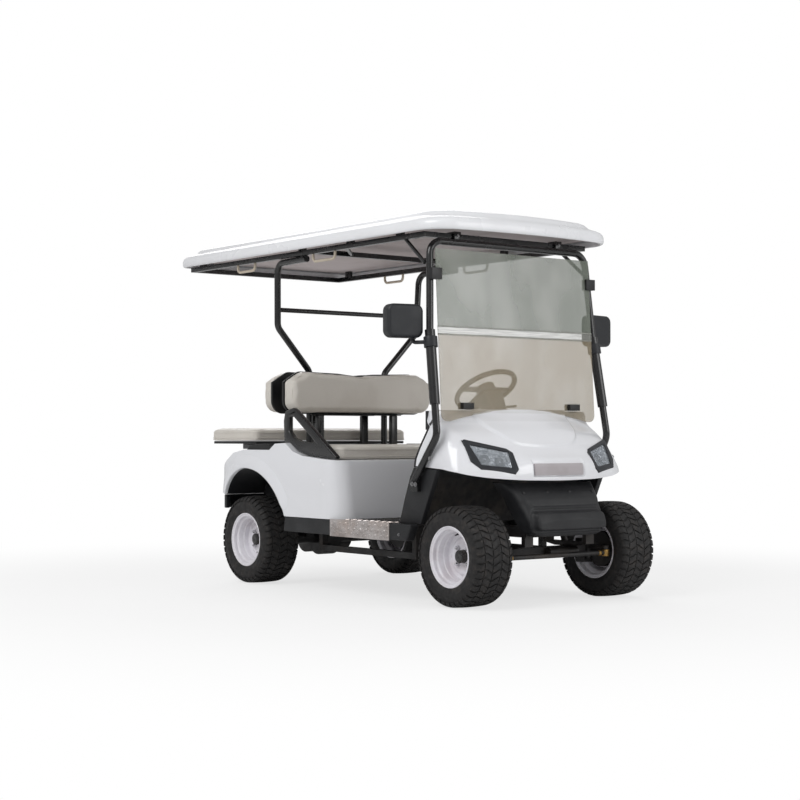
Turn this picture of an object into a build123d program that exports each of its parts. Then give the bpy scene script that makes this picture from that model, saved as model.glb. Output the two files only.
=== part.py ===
from build123d import *
import os
from math import cos, radians, sin

os.makedirs("parts", exist_ok=True)

# A two-row electric golf cart.  Millimetres: +X forward, +Y left, +Z up, ground at z = 0,
# origin on the ground below the middle of the overall box.

# ---- axles and wheels ----
wheelbase = 1650.0
rear_axle_x = -597.5
front_axle_x = rear_axle_x + wheelbase
front_track = 890.0
rear_track = 956.0
tyre_diameter = 457.0
tyre_width = 205.0
axle_z = tyre_diameter / 2
bead_radius = 127.0
rim_half_width = 92.0
rim_flange = 3.7
rim_flange_height = 11.5
rim_wall = 5.0
disc_thickness = 6.0
hub_hole_radius = 32.0
hub_cap_radius = 29.0
hub_cap_reach = 34.0
lug_circle = 101.6
lug_radius = 9.5
lug_height = 15.0
drum_radius = 84.0
drum_width = 42.0
spindle_radius = 15.0

# ---- fits ----
running_fit = 0.05
open_fit = 0.5
trim_gap = 0.3
swing_gap = 6.0

# ---- steering ----
kingpin_y = 318.0
kingpin_radius = 11.0
knuckle_radius = 20.0
knuckle_height = 84.0
ear_thickness = 14.0
steer_arm = 120.0
arm_thickness = 16.0
tie_rod_radius = 11.0
tie_eye_radius = 17.0
tie_eye_height = 26.0
tie_pin_radius = 8.0
wheel_hub = (382.5, 250.0, 1007.0)
column_angle = 56.0
steering_wheel_diameter = 340.0
steering_rim_radius = 13.0
column_radius = 19.0

# ---- frame ----
rail_top = 360.0
rail_height = 50.0
rail_width = 40.0
rail_y = 190.0
floor_thickness = 6.0
floor_top = rail_top + floor_thickness
body_half_width = 590.0
sill_width = 50.0
sill_height = 76.0
plate_thickness = 3.0
spring_width = 50.0

# ---- rear body ----
panel = 5.0
body_corner = 95.0
tail_corner = 110.0
deck_z = 700.0
kick_top_x = rear_axle_x + 822
kick_bottom_x = rear_axle_x + 868

# ---- seats ----
cushion_half_width = 520.0
cushion_front_x = rear_axle_x + 770
cushion_back_x = rear_axle_x + 245
cushion_bottom = 652.0
cushion_top = 722.0
pan_thickness = 14.0
backrest_half_width = 466.0
backrest_bottom = 886.0
backrest_top = 1114.0
backrest_depth = 84.0
shell_thickness = 14.0
front_backrest_x = rear_axle_x + 194
rear_backrest_x = rear_axle_x + 74
rear_cushion_front_x = rear_axle_x - 4
rear_cushion_back_x = rear_axle_x - 468
rear_cushion_bottom = 744.0
rear_cushion_top = 808.0
seat_hinge_radius = 5.0

# ---- roof ----
roof_front_x = rear_axle_x + 1640
roof_tail_x = rear_axle_x - 700
roof_half_width = 570.0
roof_edge_z = 1712.0
roof_top_z = 1826.0
roof_skin = 10.0
rail_tube = 25.0
roof_rail_y = 497.0
roof_rail_z = 1702.0
roof_rail_front_x = rear_axle_x + 1437
roof_rail_tail_x = rear_axle_x - 676
strut_radius = 17.0

# ---- windscreen ----
glass_thickness = 5.0
glass_half_width = 482.0
glass_foot = (front_axle_x - 127, 890.5)
glass_head = (front_axle_x - 170, 1634.0)
glass_split_z = 1256.0
glass_split_gap = 30.0
glass_foot_drop = 52.0
glass_corner = 34.0


def side_plane(y):
    """Sketch plane with x forward and y up, facing the left of the cart."""
    return Plane(origin=(0, y, 0), x_dir=(1, 0, 0), z_dir=(0, -1, 0))


def front_plane(x):
    """Sketch plane with x to the left of the cart and y up, facing forward."""
    return Plane(origin=(x, 0, 0), x_dir=(0, 1, 0), z_dir=(1, 0, 0))


def wheel_plane(x, y, side):
    """Sketch plane through a wheel's axis: x outboard, y up."""
    return Plane(origin=(x, y, axle_z), x_dir=(0, side, 0), z_dir=(side, 0, 0))


def box_between(low, high, mode=Mode.ADD):
    """Box from its lowest to its highest corner, for the part being built."""
    middle = [(a + b) / 2 for a, b in zip(low, high)]
    span = [b - a for a, b in zip(low, high)]
    with Locations(tuple(middle)):
        Box(*span, mode=mode)


def tube(points, radius, bend=0.0, mode=Mode.ADD):
    """Round bar along straight runs, joined by tangent arcs when bend is given."""
    with BuildLine() as path:
        if len(points) > 2:
            FilletPolyline(*points, radius=bend)
        else:
            Line(*points)
    with BuildSketch(Plane(origin=path.line @ 0, z_dir=path.line % 0)) as section:
        Circle(radius)
    sweep(sections=section.sketch, path=path.line, mode=mode)


def keep(piece, name):
    piece.part.label = name
    export_step(piece.part, f"parts/{name}.step")


def fore(distance):
    """Station measured forward from the front axle."""
    return front_axle_x + distance


def aft(distance):
    """Station measured forward from the rear axle."""
    return rear_axle_x + distance


# =========================== wheels ===========================
# corner name, axle station, side (+1 left), half track
corners = [
    ("front_right", front_axle_x, -1, front_track / 2),
    ("front_left", front_axle_x, 1, front_track / 2),
    ("rear_right", rear_axle_x, -1, rear_track / 2),
    ("rear_left", rear_axle_x, 1, rear_track / 2),
]

half = tyre_width / 2
crown = tyre_diameter / 2
seat = bead_radius
inner_rim = bead_radius - rim_wall
disc_half = disc_thickness / 2
for name, axle_x, side, half_track in corners:
    wheel_y = side * half_track
    spin_axis = Axis((axle_x, wheel_y, axle_z), (0, side, 0))
    with BuildPart() as tyre:
        with BuildSketch(wheel_plane(axle_x, wheel_y, side)):
            with BuildLine():
                Polyline(
                    (-88, seat), (-88, seat + 13), (-half, seat + 34), (-half, seat + 62), (-88, crown - 13),
                    (-72, crown), (72, crown), (88, crown - 13), (half, seat + 62), (half, seat + 34),
                    (88, seat + 13), (88, seat),
                    (76, seat), (88, seat + 36), (88, seat + 60), (72, crown - 18),
                    (-72, crown - 18), (-88, seat + 60), (-88, seat + 36), (-76, seat), (-88, seat),
                )
            make_face()
        revolve(axis=spin_axis)
    keep(tyre, f"tyre_{name}")

    flange_in = rim_half_width - rim_flange
    seat_outer = bead_radius - trim_gap
    flange_top = bead_radius + rim_flange_height
    with BuildPart() as rim:
        with BuildSketch(wheel_plane(axle_x, wheel_y, side)):
            with BuildLine():
                Polyline(
                    (-rim_half_width, inner_rim), (-rim_half_width, flange_top), (-flange_in, flange_top),
                    (-flange_in, seat_outer), (flange_in, seat_outer), (flange_in, flange_top),
                    (rim_half_width, flange_top), (rim_half_width, inner_rim), (disc_half, inner_rim),
                    (disc_half, hub_hole_radius), (-disc_half, hub_hole_radius), (-disc_half, inner_rim),
                    (-rim_half_width, inner_rim),
                )
            make_face()
        revolve(axis=spin_axis)
        face = Plane(origin=(axle_x, wheel_y + side * disc_half, axle_z), x_dir=(1, 0, 0), z_dir=(0, side, 0))
        with BuildSketch(face):
            with PolarLocations(lug_circle / 2, 4, start_angle=45):
                RegularPolygon(lug_radius, 6)
        extrude(amount=lug_height)
    keep(rim, f"rim_{name}")

    with BuildPart() as hub:
        with BuildSketch(wheel_plane(axle_x, wheel_y, side)):
            with BuildLine():
                Polyline(
                    (-disc_half - drum_width, spindle_radius + running_fit), (-disc_half - drum_width, drum_radius),
                    (-disc_half, drum_radius), (-disc_half, hub_cap_radius), (hub_cap_reach, hub_cap_radius),
                    (hub_cap_reach, 0), (hub_cap_reach - 5, 0),
                    (hub_cap_reach - 5, spindle_radius + running_fit),
                    (-disc_half - drum_width, spindle_radius + running_fit),
                )
            make_face()
        revolve(axis=spin_axis)
    keep(hub, f"hub_{name}")

# =========================== steering knuckles ===========================
arm_bottom = axle_z + 8
eye_top = arm_bottom - 4
eye_bottom = eye_top - tie_eye_height
eye_z = (eye_top + eye_bottom) / 2
spindle_reach = front_track / 2 + hub_cap_reach - 10 - kingpin_y
shoulder_reach = front_track / 2 - disc_half - drum_width - 2 - kingpin_y
for name, side in (("right", -1), ("left", 1)):
    pivot_y = side * kingpin_y
    eye_x = front_axle_x + steer_arm
    outboard = Plane(origin=(front_axle_x, pivot_y, axle_z), x_dir=(1, 0, 0), z_dir=(0, side, 0))
    with BuildPart() as knuckle:
        with BuildSketch(Plane.XY.offset(axle_z - knuckle_height / 2)):
            with Locations((front_axle_x, pivot_y)):
                Circle(knuckle_radius)
        extrude(amount=knuckle_height)
        with BuildSketch(outboard):
            Circle(spindle_radius + 7)
        extrude(amount=shoulder_reach)
        with BuildSketch(outboard):
            Circle(spindle_radius)
        extrude(amount=spindle_reach)
        with BuildSketch(Plane.XY.offset(arm_bottom)):
            with Locations(((front_axle_x + eye_x) / 2, pivot_y)):
                SlotCenterToCenter(steer_arm, 2 * tie_eye_radius - 4)
        extrude(amount=arm_thickness)
        with BuildSketch(Plane.XY.offset(eye_bottom - 6)):
            with Locations((eye_x, pivot_y)):
                Circle(tie_pin_radius)
        extrude(amount=arm_bottom - eye_bottom + 6)
        with BuildSketch(Plane.XY.offset(axle_z - knuckle_height / 2)):
            with Locations((front_axle_x, pivot_y)):
                Circle(kingpin_radius + running_fit)
        extrude(amount=knuckle_height, mode=Mode.SUBTRACT)
    keep(knuckle, f"knuckle_{name}")

with BuildPart() as tie_rod:
    tube([(eye_x, -kingpin_y, eye_z), (eye_x, kingpin_y, eye_z)], tie_rod_radius)
    with BuildSketch(Plane.XY.offset(eye_bottom)):
        with Locations((eye_x, -kingpin_y), (eye_x, kingpin_y)):
            Circle(tie_eye_radius)
    extrude(amount=tie_eye_height)
    for side, play in ((-1, running_fit), (1, open_fit)):
        with BuildSketch(Plane.XY.offset(eye_bottom)):
            with Locations((eye_x, side * kingpin_y)):
                Circle(tie_pin_radius + play)
        extrude(amount=tie_eye_height, mode=Mode.SUBTRACT)
keep(tie_rod, "tie_rod")

# =========================== front axle ===========================
beam_half = 25.0
fork_inner_y = kingpin_y - knuckle_radius - 18
ear_gap = knuckle_height / 2 + 1
with BuildPart() as front_axle:
    box_between((front_axle_x - beam_half, -fork_inner_y, axle_z - beam_half),
                (front_axle_x + beam_half, fork_inner_y, axle_z + beam_half))
    for side in (-1, 1):
        fork_y = sorted((side * (fork_inner_y - 22), side * fork_inner_y))
        box_between((front_axle_x - 22, fork_y[0], axle_z - ear_gap - ear_thickness),
                    (front_axle_x + 22, fork_y[1], axle_z + ear_gap + ear_thickness))
        for bottom in (axle_z - ear_gap - ear_thickness, axle_z + ear_gap):
            with BuildSketch(Plane.XY.offset(bottom)):
                with Locations((front_axle_x, side * (kingpin_y + fork_inner_y - 22) / 2)):
                    Rectangle(44, kingpin_y - fork_inner_y + 22)
                with Locations((front_axle_x, side * kingpin_y)):
                    Circle(22)
            extrude(amount=ear_thickness)
        with BuildSketch(Plane.XY.offset(axle_z - ear_gap - ear_thickness)):
            with Locations((front_axle_x, side * kingpin_y)):
                Circle(kingpin_radius)
        extrude(amount=2 * (ear_gap + ear_thickness))
    # rack housing on the beam's front face
    with BuildSketch(side_plane(200)):
        with Locations((front_axle_x + beam_half + 16, axle_z)):
            Circle(24)
    extrude(amount=180)
keep(front_axle, "front_axle")

# =========================== rear axle ===========================
axle_tube_radius = 35.0
diff_radius = 97.0
motor_radius = 80.0
rear_flange_y = rear_track / 2 - disc_half - drum_width - 2
with BuildPart() as rear_axle:
    tube([(rear_axle_x, -rear_flange_y, axle_z), (rear_axle_x, rear_flange_y, axle_z)], axle_tube_radius)
    tube([(rear_axle_x, -rear_track / 2 - 20, axle_z), (rear_axle_x, rear_track / 2 + 20, axle_z)], spindle_radius)
    with BuildSketch(side_plane(-20)):
        with Locations((rear_axle_x, axle_z)):
            Circle(diff_radius)
        with Locations((rear_axle_x - 120, axle_z - 10)):
            Circle(motor_radius)
        with Locations((rear_axle_x - 60, axle_z - 5)):
            Rectangle(120, 2 * motor_radius - 30)
    extrude(amount=90)
    with BuildSketch(side_plane(-20)):
        with Locations((rear_axle_x - 120, axle_z - 10)):
            Circle(motor_radius - 6)
    extrude(amount=-170)
    for side in (-1, 1):
        seat_y = sorted((side * (rail_y - spring_width / 2), side * (rail_y + spring_width / 2)))
        box_between((rear_axle_x - 45, seat_y[0], axle_z),
                    (rear_axle_x + 45, seat_y[1], axle_z + axle_tube_radius + 4))
keep(rear_axle, "rear_axle")

# =========================== springs and dampers ===========================
# axle station, spring seat height, half length
spring_sets = [
    (front_axle_x, axle_z + beam_half, 148.0),
    (rear_axle_x, axle_z + axle_tube_radius + 4, 240.0),
]
leaf = 7.0
rail_bottom = rail_top - rail_height
with BuildPart() as springs:
    for station, seat_z, reach in spring_sets:
        for side in (-1, 1):
            with BuildSketch(side_plane(side * rail_y + spring_width / 2)):
                with BuildLine():
                    Polyline(
                        (station - 0.45 * reach, seat_z), (station + 0.45 * reach, seat_z),
                        (station + 0.72 * reach, seat_z + leaf), (station + reach, seat_z + 2 * leaf),
                        (station + reach, rail_bottom), (station + reach - 24, rail_bottom),
                        (station + reach - 24, seat_z + 3 * leaf), (station + 0.6 * reach, seat_z + 3 * leaf),
                        (station - 0.6 * reach, seat_z + 3 * leaf), (station - reach + 24, seat_z + 3 * leaf),
                        (station - reach + 24, rail_bottom), (station - reach, rail_bottom),
                        (station - reach, seat_z + 2 * leaf), (station - 0.72 * reach, seat_z + leaf),
                        (station - 0.45 * reach, seat_z),
                    )
                make_face()
            extrude(amount=spring_width)
            damper_y = side * (rail_y + spring_width / 2 + 22)
            tube([(station - 60, damper_y, seat_z - 12), (station - 100, damper_y, rail_top - 14)], 17.0)
            lug_y = sorted((side * (rail_y + spring_width / 2), side * (rail_y + spring_width / 2 + 30)))
            box_between((station - 76, lug_y[0], seat_z), (station - 40, lug_y[1], seat_z + 2 * leaf))
keep(springs, "springs_and_dampers")

# =========================== chassis frame ===========================
frame_tail_x = aft(-250)
frame_nose_x = fore(150)
side_tube_y = 400.0
side_tube_z = 205.0
outrigger_stations = [aft(440), aft(850), aft(1240)]
with BuildPart() as frame:
    for side in (-1, 1):
        rail_sides = sorted((side * (rail_y - rail_width / 2), side * (rail_y + rail_width / 2)))
        box_between((frame_tail_x, rail_sides[0], rail_bottom), (frame_nose_x, rail_sides[1], rail_top))
        tube_sides = sorted((side * (side_tube_y - 15), side * (side_tube_y + 15)))
        box_between((aft(455), tube_sides[0], side_tube_z - 15), (aft(1255), tube_sides[1], side_tube_z + 15))
        for station in (aft(470), aft(1240)):
            box_between((station - 15, tube_sides[0], side_tube_z), (station + 15, tube_sides[1], rail_bottom + 20))
    for station in outrigger_stations:
        reach = body_half_width - sill_width
        box_between((station - 20, -reach, rail_bottom), (station + 20, reach, rail_bottom + 36))
    for station in (frame_tail_x + 20, aft(120), frame_nose_x - 20):
        box_between((station - 20, -rail_y, rail_bottom), (station + 20, rail_y, rail_top))
    # struts that carry the bumper, ahead of the first crossmember
    for side in (-1, 1):
        strut_sides = sorted((side * 60, side * 86))
        box_between((frame_nose_x, strut_sides[0], rail_bottom + 20), (fore(212), strut_sides[1], rail_top + 12))
    # tail plate with its four hitch holes
    with BuildSketch(front_plane(frame_tail_x)):
        with Locations((0, rail_bottom + 18)):
            Rectangle(220, 116)
            with GridLocations(120, 60, 2, 2):
                Circle(6.5, mode=Mode.SUBTRACT)
    extrude(amount=-8)
keep(frame, "chassis_frame")

battery_half = 330.0
with BuildPart() as battery:
    box_between((aft(330), -battery_half, rail_top), (aft(730), battery_half, rail_top + 240))
    fillet(battery.edges().filter_by(Axis.Z), 8)
keep(battery, "battery_pack")

# =========================== floor, sills, tread plates ===========================
toe_foot_x = fore(-350)
toe_top = (fore(-236), 620.0)
floor_half = body_half_width - sill_width
valance_y = 505.0
with BuildPart() as floor:
    with BuildSketch(side_plane(floor_half)):
        with BuildLine():
            Polyline(
                (aft(750), rail_top), (toe_foot_x, rail_top), toe_top, (toe_top[0] - 3, toe_top[1] + floor_thickness),
                (toe_foot_x - 3, floor_top), (aft(750), floor_top), (aft(750), rail_top),
            )
        make_face()
    extrude(amount=2 * floor_half)
    # the toe board fits between the valances
    for side in (-1, 1):
        valance_sides = sorted((side * (valance_y - trim_gap), side * (body_half_width + 1)))
        box_between((fore(-380), valance_sides[0], floor_top), (fore(0), valance_sides[1], 700), Mode.SUBTRACT)
keep(floor, "floor_pan")

sill_bottom = floor_top - sill_height
sill_front_x = fore(-216)
with BuildPart() as sills:
    for side in (-1, 1):
        with BuildSketch(side_plane(max(side * floor_half, side * body_half_width))):
            with BuildLine():
                Polyline(
                    (aft(388), sill_bottom), (sill_front_x - 30, sill_bottom), (sill_front_x, sill_bottom + 60),
                    (sill_front_x, floor_top), (aft(400), floor_top), (aft(388), sill_bottom),
                )
            make_face()
        extrude(amount=sill_width)
keep(sills, "sills")

plate_tail_x = kick_bottom_x - 66
plate_nose_x = fore(-371)
with BuildPart() as plates:
    for side in (-1, 1):
        outer = sorted((side * body_half_width, side * (body_half_width + plate_thickness)))
        top = sorted((side * (floor_half - 20), side * (body_half_width + plate_thickness)))
        box_between((plate_tail_x, outer[0], sill_bottom - 4), (plate_nose_x, outer[1], floor_top + plate_thickness))
        box_between((kick_bottom_x + 8, top[0], floor_top), (plate_nose_x, top[1], floor_top + plate_thickness))
keep(plates, "tread_plates")

# =========================== rear body ===========================
# outline of one side: distance ahead of the rear axle, height
body_outline = [
    (-262, 462), (-243, 540), (-190, 622), (-95, 682), (10, deck_z), (255, deck_z), (308, 732),
    (402, 736), (470, 694), (557, 672), (757, 656),
]
tail_x = aft(-262)
recess_half = cushion_half_width + swing_gap
recess_back_x = cushion_back_x - swing_gap
recess_front_x = cushion_front_x + 2 * swing_gap
recess_floor = cushion_bottom - pan_thickness - trim_gap
bay_half = 462.0


def arch_face(grow, front_foot, rear_foot):
    """Rear arch outline seen from the left, grown outwards, closed through two feet."""
    rear = (aft(-172) - grow, body_outline[0][1] + 1)
    top = (aft(15), 603 + grow)
    front = (aft(394) + grow, floor_top + 2)
    with BuildSketch() as face:
        with BuildLine():
            ThreePointArc(rear, (aft(-118) - 0.7 * grow, 545 + 0.7 * grow), top)
            ThreePointArc(top, (aft(228) + 0.7 * grow, 549 + 0.7 * grow), front)
            Polyline(front, front_foot, rear_foot, rear)
        make_face()
    return face.sketch


def body_volume(wall, skirt):
    """Rear body's envelope, its faces moved inwards by a wall and its foot lowered by a skirt."""
    low = floor_top - skirt
    with BuildPart() as volume:
        reach = body_half_width - wall
        with BuildSketch(side_plane(reach)):
            with BuildLine():
                Polyline(
                    (tail_x + wall, body_outline[0][1] - skirt),
                    *[(aft(x) + (wall if x < 0 else 0), z - wall) for x, z in body_outline[1:]],
                    (kick_top_x - wall, cushion_bottom - wall), (kick_bottom_x - wall, low),
                    (aft(60), low), (aft(-150), body_outline[0][1] - skirt), close=True,
                )
            make_face()
        extrude(amount=2 * reach)
        with BuildSketch():
            with Locations(((tail_x + kick_bottom_x) / 2, 0)):
                Rectangle(kick_bottom_x - tail_x - 2 * wall, 2 * reach)
            ends = vertices().group_by(Axis.X)
            fillet(ends[0], tail_corner - wall)
            fillet(ends[-1], body_corner - wall)
        extrude(amount=1000, mode=Mode.INTERSECT)
    return volume.part


with BuildPart() as hollow:
    add(body_volume(panel, 30.0))
    with BuildSketch(Plane.XY.offset(recess_floor - panel)):
        with Locations(((recess_back_x + recess_front_x) / 2, 0)):
            Rectangle(recess_front_x - recess_back_x + 2 * panel, 2 * (recess_half + panel))
    extrude(amount=200, mode=Mode.SUBTRACT)

lamp_z = 575.0
lamp_spacing = 800.0
lamp_height = 84.0
lamp_width = 46.0
arch_cut = arch_face(0.0, (aft(394), 300), (aft(-172), 300))
with BuildPart() as rear_body:
    add(body_volume(0.0, 0.0))
    add(hollow.part, mode=Mode.SUBTRACT)
    with BuildSketch(Plane.XY.offset(recess_floor)):
        with Locations(((recess_back_x + recess_front_x) / 2, 0)):
            Rectangle(recess_front_x - recess_back_x, 2 * recess_half)
    extrude(amount=200, mode=Mode.SUBTRACT)
    with BuildSketch(Plane.XY.offset(recess_floor - 2 * panel)):
        with Locations(((recess_back_x + recess_front_x) / 2, 0)):
            Rectangle(recess_front_x - recess_back_x - 80, 2 * bay_half)
    extrude(amount=50, mode=Mode.SUBTRACT)
    with BuildSketch(side_plane(body_half_width)):
        add(arch_cut)
    extrude(amount=2 * body_half_width, mode=Mode.SUBTRACT)
    with BuildSketch(front_plane(aft(-150))):
        with Locations((-lamp_spacing / 2, lamp_z), (lamp_spacing / 2, lamp_z)):
            SlotOverall(lamp_height + 2 * trim_gap, lamp_width + 2 * trim_gap, rotation=90)
    extrude(amount=-150, mode=Mode.SUBTRACT)
keep(rear_body, "rear_body")

# black liners inside the rear arches: a roof that follows the arch and an inner wall
liner = 3.0
liner_wall_y = rear_track / 2 - tyre_width / 2 - 32
liner_outside = arch_face(2 * liner, (aft(394) + 2 * liner, floor_top + 0.5), (aft(-172) - 2 * liner, body_outline[0][1] + 0.5))
liner_inside = arch_face(liner, (aft(394) + liner, 300), (aft(-172) - liner, 300))
liner_room = body_volume(panel + trim_gap, 120.0)
with BuildPart() as liners:
    for side in (-1, 1):
        outer_y = body_half_width - panel - trim_gap
        near, far = sorted((side * liner_wall_y, side * outer_y))
        with BuildSketch(side_plane(far)):
            add(liner_outside)
        extrude(amount=far - near)
        cup_far = far if side > 0 else far - liner
        with BuildSketch(side_plane(cup_far)):
            add(liner_inside)
        extrude(amount=far - near - liner, mode=Mode.SUBTRACT)
        with BuildSketch(side_plane(near + liner if side > 0 else far)):
            with BuildLine():
                Polyline((aft(-150), 290), (aft(380), 290), (aft(380), 385), (aft(-150), 470), close=True)
            make_face()
        extrude(amount=liner)
    add(liner_room, mode=Mode.INTERSECT)
keep(liners, "wheel_liners")

# rear bumper: a moulded bar wrapped round the tail
bumper_bottom = 388.0
bumper_top = 458.0
with BuildPart() as rear_bumper:
    with BuildSketch(Plane.XY.offset(bumper_bottom)):
        for wall, mode in ((0, Mode.ADD), (22, Mode.SUBTRACT)):
            with Locations((tail_x + 300 - 12, 0)):
                Rectangle(600 - 2 * wall, 2 * body_half_width - 24 - 2 * wall, mode=mode)
        fillet(vertices().group_by(Axis.X)[0], tail_corner - 6)
        inner_tail = vertices().filter_by_position(Axis.X, tail_x + 5, tail_x + 15)
        fillet(inner_tail, tail_corner - 26)
        with Locations((tail_x + 380, 0)):
            Rectangle(600, 2 * body_half_width, mode=Mode.SUBTRACT)
    extrude(amount=bumper_top - bumper_bottom)
    for side in (-1, 1):
        stay = sorted((side * (rail_y - 18), side * (rail_y + 18)))
        box_between((tail_x + 4, stay[0], rail_top + 1), (tail_x + 34, stay[1], bumper_top))
        box_between((tail_x + 4, stay[0], rail_top), (tail_x + 60, stay[1], rail_top + 8))
keep(rear_bumper, "rear_bumper")

# black trays on the deck, beside the rear backrest
with BuildPart() as trays:
    for side in (-1, 1):
        for inner_y, back, front, front_top in ((430, 12, 232, 232), (532, 200, 253, 285)):
            near, far = sorted((side * inner_y, side * 572))
            with BuildSketch(side_plane(far)):
                with BuildLine():
                    Polyline(
                        (aft(back), deck_z), (aft(back + 24), 718), (aft(back + 80), 730), (aft(front_top), 730),
                        (aft(front), deck_z), close=True,
                    )
                make_face()
            extrude(amount=far - near)
        dish = sorted((side * 452, side * 556))
        with BuildSketch(Plane.XY.offset(deck_z + 14)):
            with Locations((aft(145), (dish[0] + dish[1]) / 2)):
                RectangleRounded(130, dish[1] - dish[0], 18)
        extrude(amount=40, mode=Mode.SUBTRACT)
keep(trays, "rear_trays")

with BuildPart() as tail_lamps:
    with BuildSketch(front_plane(aft(-186))):
        with Locations((-lamp_spacing / 2, lamp_z), (lamp_spacing / 2, lamp_z)):
            SlotOverall(lamp_height, lamp_width, rotation=90)
    extrude(amount=-64)
keep(tail_lamps, "tail_lamps")

# =========================== seats ===========================
hinge_x = cushion_back_x - 17
hinge_y = 340.0
seat_hinge_z = deck_z + 10
post_front_x = aft(209)
post_rear_x = aft(45)
with BuildPart() as front_cushion:
    box_between((cushion_back_x, -cushion_half_width, cushion_bottom + trim_gap),
                (cushion_front_x, cushion_half_width, cushion_top))
    fillet(front_cushion.edges().filter_by(Axis.Z), 45)
    fillet(front_cushion.faces().sort_by(Axis.Z)[-1].edges(), 18)
keep(front_cushion, "seat_cushion_front")

with BuildPart() as lid:
    box_between((cushion_back_x, 12 - cushion_half_width, cushion_bottom - pan_thickness),
                (cushion_front_x - 10, cushion_half_width - 12, cushion_bottom))
    for side in (-1, 1):
        for lateral in (28, -28):
            ear_y = side * hinge_y + lateral
            box_between((cushion_back_x - 3, ear_y - 6, cushion_bottom - pan_thickness),
                        (cushion_back_x - trim_gap, ear_y + 6, seat_hinge_z + 8))
            box_between((hinge_x, ear_y - 6, seat_hinge_z - 1), (cushion_back_x - 3, ear_y + 6, seat_hinge_z + 8))
            with BuildSketch(side_plane(ear_y + 6)):
                with Locations((hinge_x, seat_hinge_z)):
                    Circle(8)
            extrude(amount=12)
        with BuildSketch(side_plane(side * hinge_y + 34)):
            with Locations((hinge_x, seat_hinge_z)):
                Circle(seat_hinge_radius)
        extrude(amount=68)
        foot_y = sorted((side * hinge_y - 34, side * hinge_y + 34))
        box_between((cushion_back_x - 3, foot_y[0], cushion_bottom - pan_thickness),
                    (cushion_back_x, foot_y[1], cushion_bottom))
keep(lid, "seat_pan_front")

with BuildPart() as frame_seats:
    # hinge blocks on the deck
    for side in (-1, 1):
        box_between((hinge_x - 8, side * hinge_y - 20, deck_z), (hinge_x + 8, side * hinge_y + 20, seat_hinge_z + 8))
        with BuildSketch(side_plane(side * hinge_y + 20)):
            with Locations((hinge_x, seat_hinge_z)):
                Circle(seat_hinge_radius + running_fit)
        extrude(amount=40, mode=Mode.SUBTRACT)
keep(frame_seats, "seat_hinges")

flange_z = backrest_bottom - trim_gap - 4
# post station, half spacing
post_rows = [(post_front_x, 243.0), (post_rear_x, 166.0)]
with BuildPart() as seat_frame:
    for station, spread in post_rows:
        for side in (-1, 1):
            box_between((station - 14, side * spread - 20, deck_z), (station + 14, side * spread + 20, flange_z))
    for side in (-1, 1):
        box_between((rear_cushion_back_x + 30, side * 300 - 15, deck_z), (aft(110), side * 300 + 15, 730))
    box_between((rear_cushion_back_x + 30, -300, deck_z), (rear_cushion_back_x + 60, 300, 730))
    box_between((post_rear_x - 14, -300, deck_z), (post_rear_x + 14, 300, 730))
keep(seat_frame, "seat_posts")

with BuildPart() as rear_pan:
    box_between((rear_cushion_back_x + 8, 12 - cushion_half_width, 730),
                (rear_cushion_front_x - 8, cushion_half_width - 12, rear_cushion_bottom))
keep(rear_pan, "seat_pan_rear")

with BuildPart() as rear_cushion:
    box_between((rear_cushion_back_x, -cushion_half_width, rear_cushion_bottom + trim_gap),
                (rear_cushion_front_x, cushion_half_width, rear_cushion_top))
    fillet(rear_cushion.edges().filter_by(Axis.Z), 45)
    fillet(rear_cushion.faces().sort_by(Axis.Z)[-1].edges(), 18)
keep(rear_cushion, "seat_cushion_rear")

# backrest outline: distance from the middle, height; the top dips in the middle
back_outline = [(1.0, 0.0), (1.0, 0.74), (0.8, 1.0), (0.25, 0.97), (0.0, 0.92)]


def backrest_face(inset):
    """Front view of a backrest on the working plane, inset from its edge."""
    half_width = backrest_half_width - inset
    height = backrest_top - backrest_bottom - 2 * inset
    right = [(half_width * y, backrest_bottom + inset + height * z) for y, z in back_outline]
    left = [(-y, z) for y, z in reversed(right[:-1])]
    with BuildSketch() as face:
        with BuildLine():
            Polyline(*right, *left, close=True)
        make_face()
        fillet(face.vertices().sort_by(Axis.Y)[:2], 70)
        fillet(face.vertices().sort_by(Axis.Y)[-2:], 60)
    return face.sketch


for row, face_x, facing in (("front", front_backrest_x, 1), ("rear", rear_backrest_x, -1)):
    plane = Plane(origin=(face_x, 0, 0), x_dir=(0, facing, 0), z_dir=(facing, 0, 0))
    outline = backrest_face(0.0)
    with BuildPart() as backrest:
        with BuildSketch(plane):
            add(outline)
        extrude(amount=backrest_depth)
        fillet(backrest.faces().sort_by(Axis.X)[-1 if facing > 0 else 0].edges(), 20)
    keep(backrest, f"backrest_{row}")

shell_outline = backrest_face(3.0)
with BuildPart() as shells:
    for face_x, facing, post_x, spread in (
        (front_backrest_x, 1, post_front_x, 243.0), (rear_backrest_x, -1, post_rear_x, 166.0),
    ):
        plane = Plane(origin=(face_x - facing * trim_gap, 0, 0), x_dir=(0, facing, 0), z_dir=(facing, 0, 0))
        with BuildSketch(plane):
            add(shell_outline)
        extrude(amount=-shell_thickness)
        flange = sorted((face_x - facing * (shell_thickness + trim_gap), face_x + facing * 36))
        box_between((flange[0], -spread - 40, flange_z), (flange[1], spread + 40, flange_z + 4))
        web = sorted((face_x - facing * (shell_thickness + trim_gap), face_x - facing * trim_gap))
        box_between((web[0], -spread - 40, flange_z), (web[1], spread + 40, backrest_bottom + 30))
keep(shells, "backrest_shells")

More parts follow.
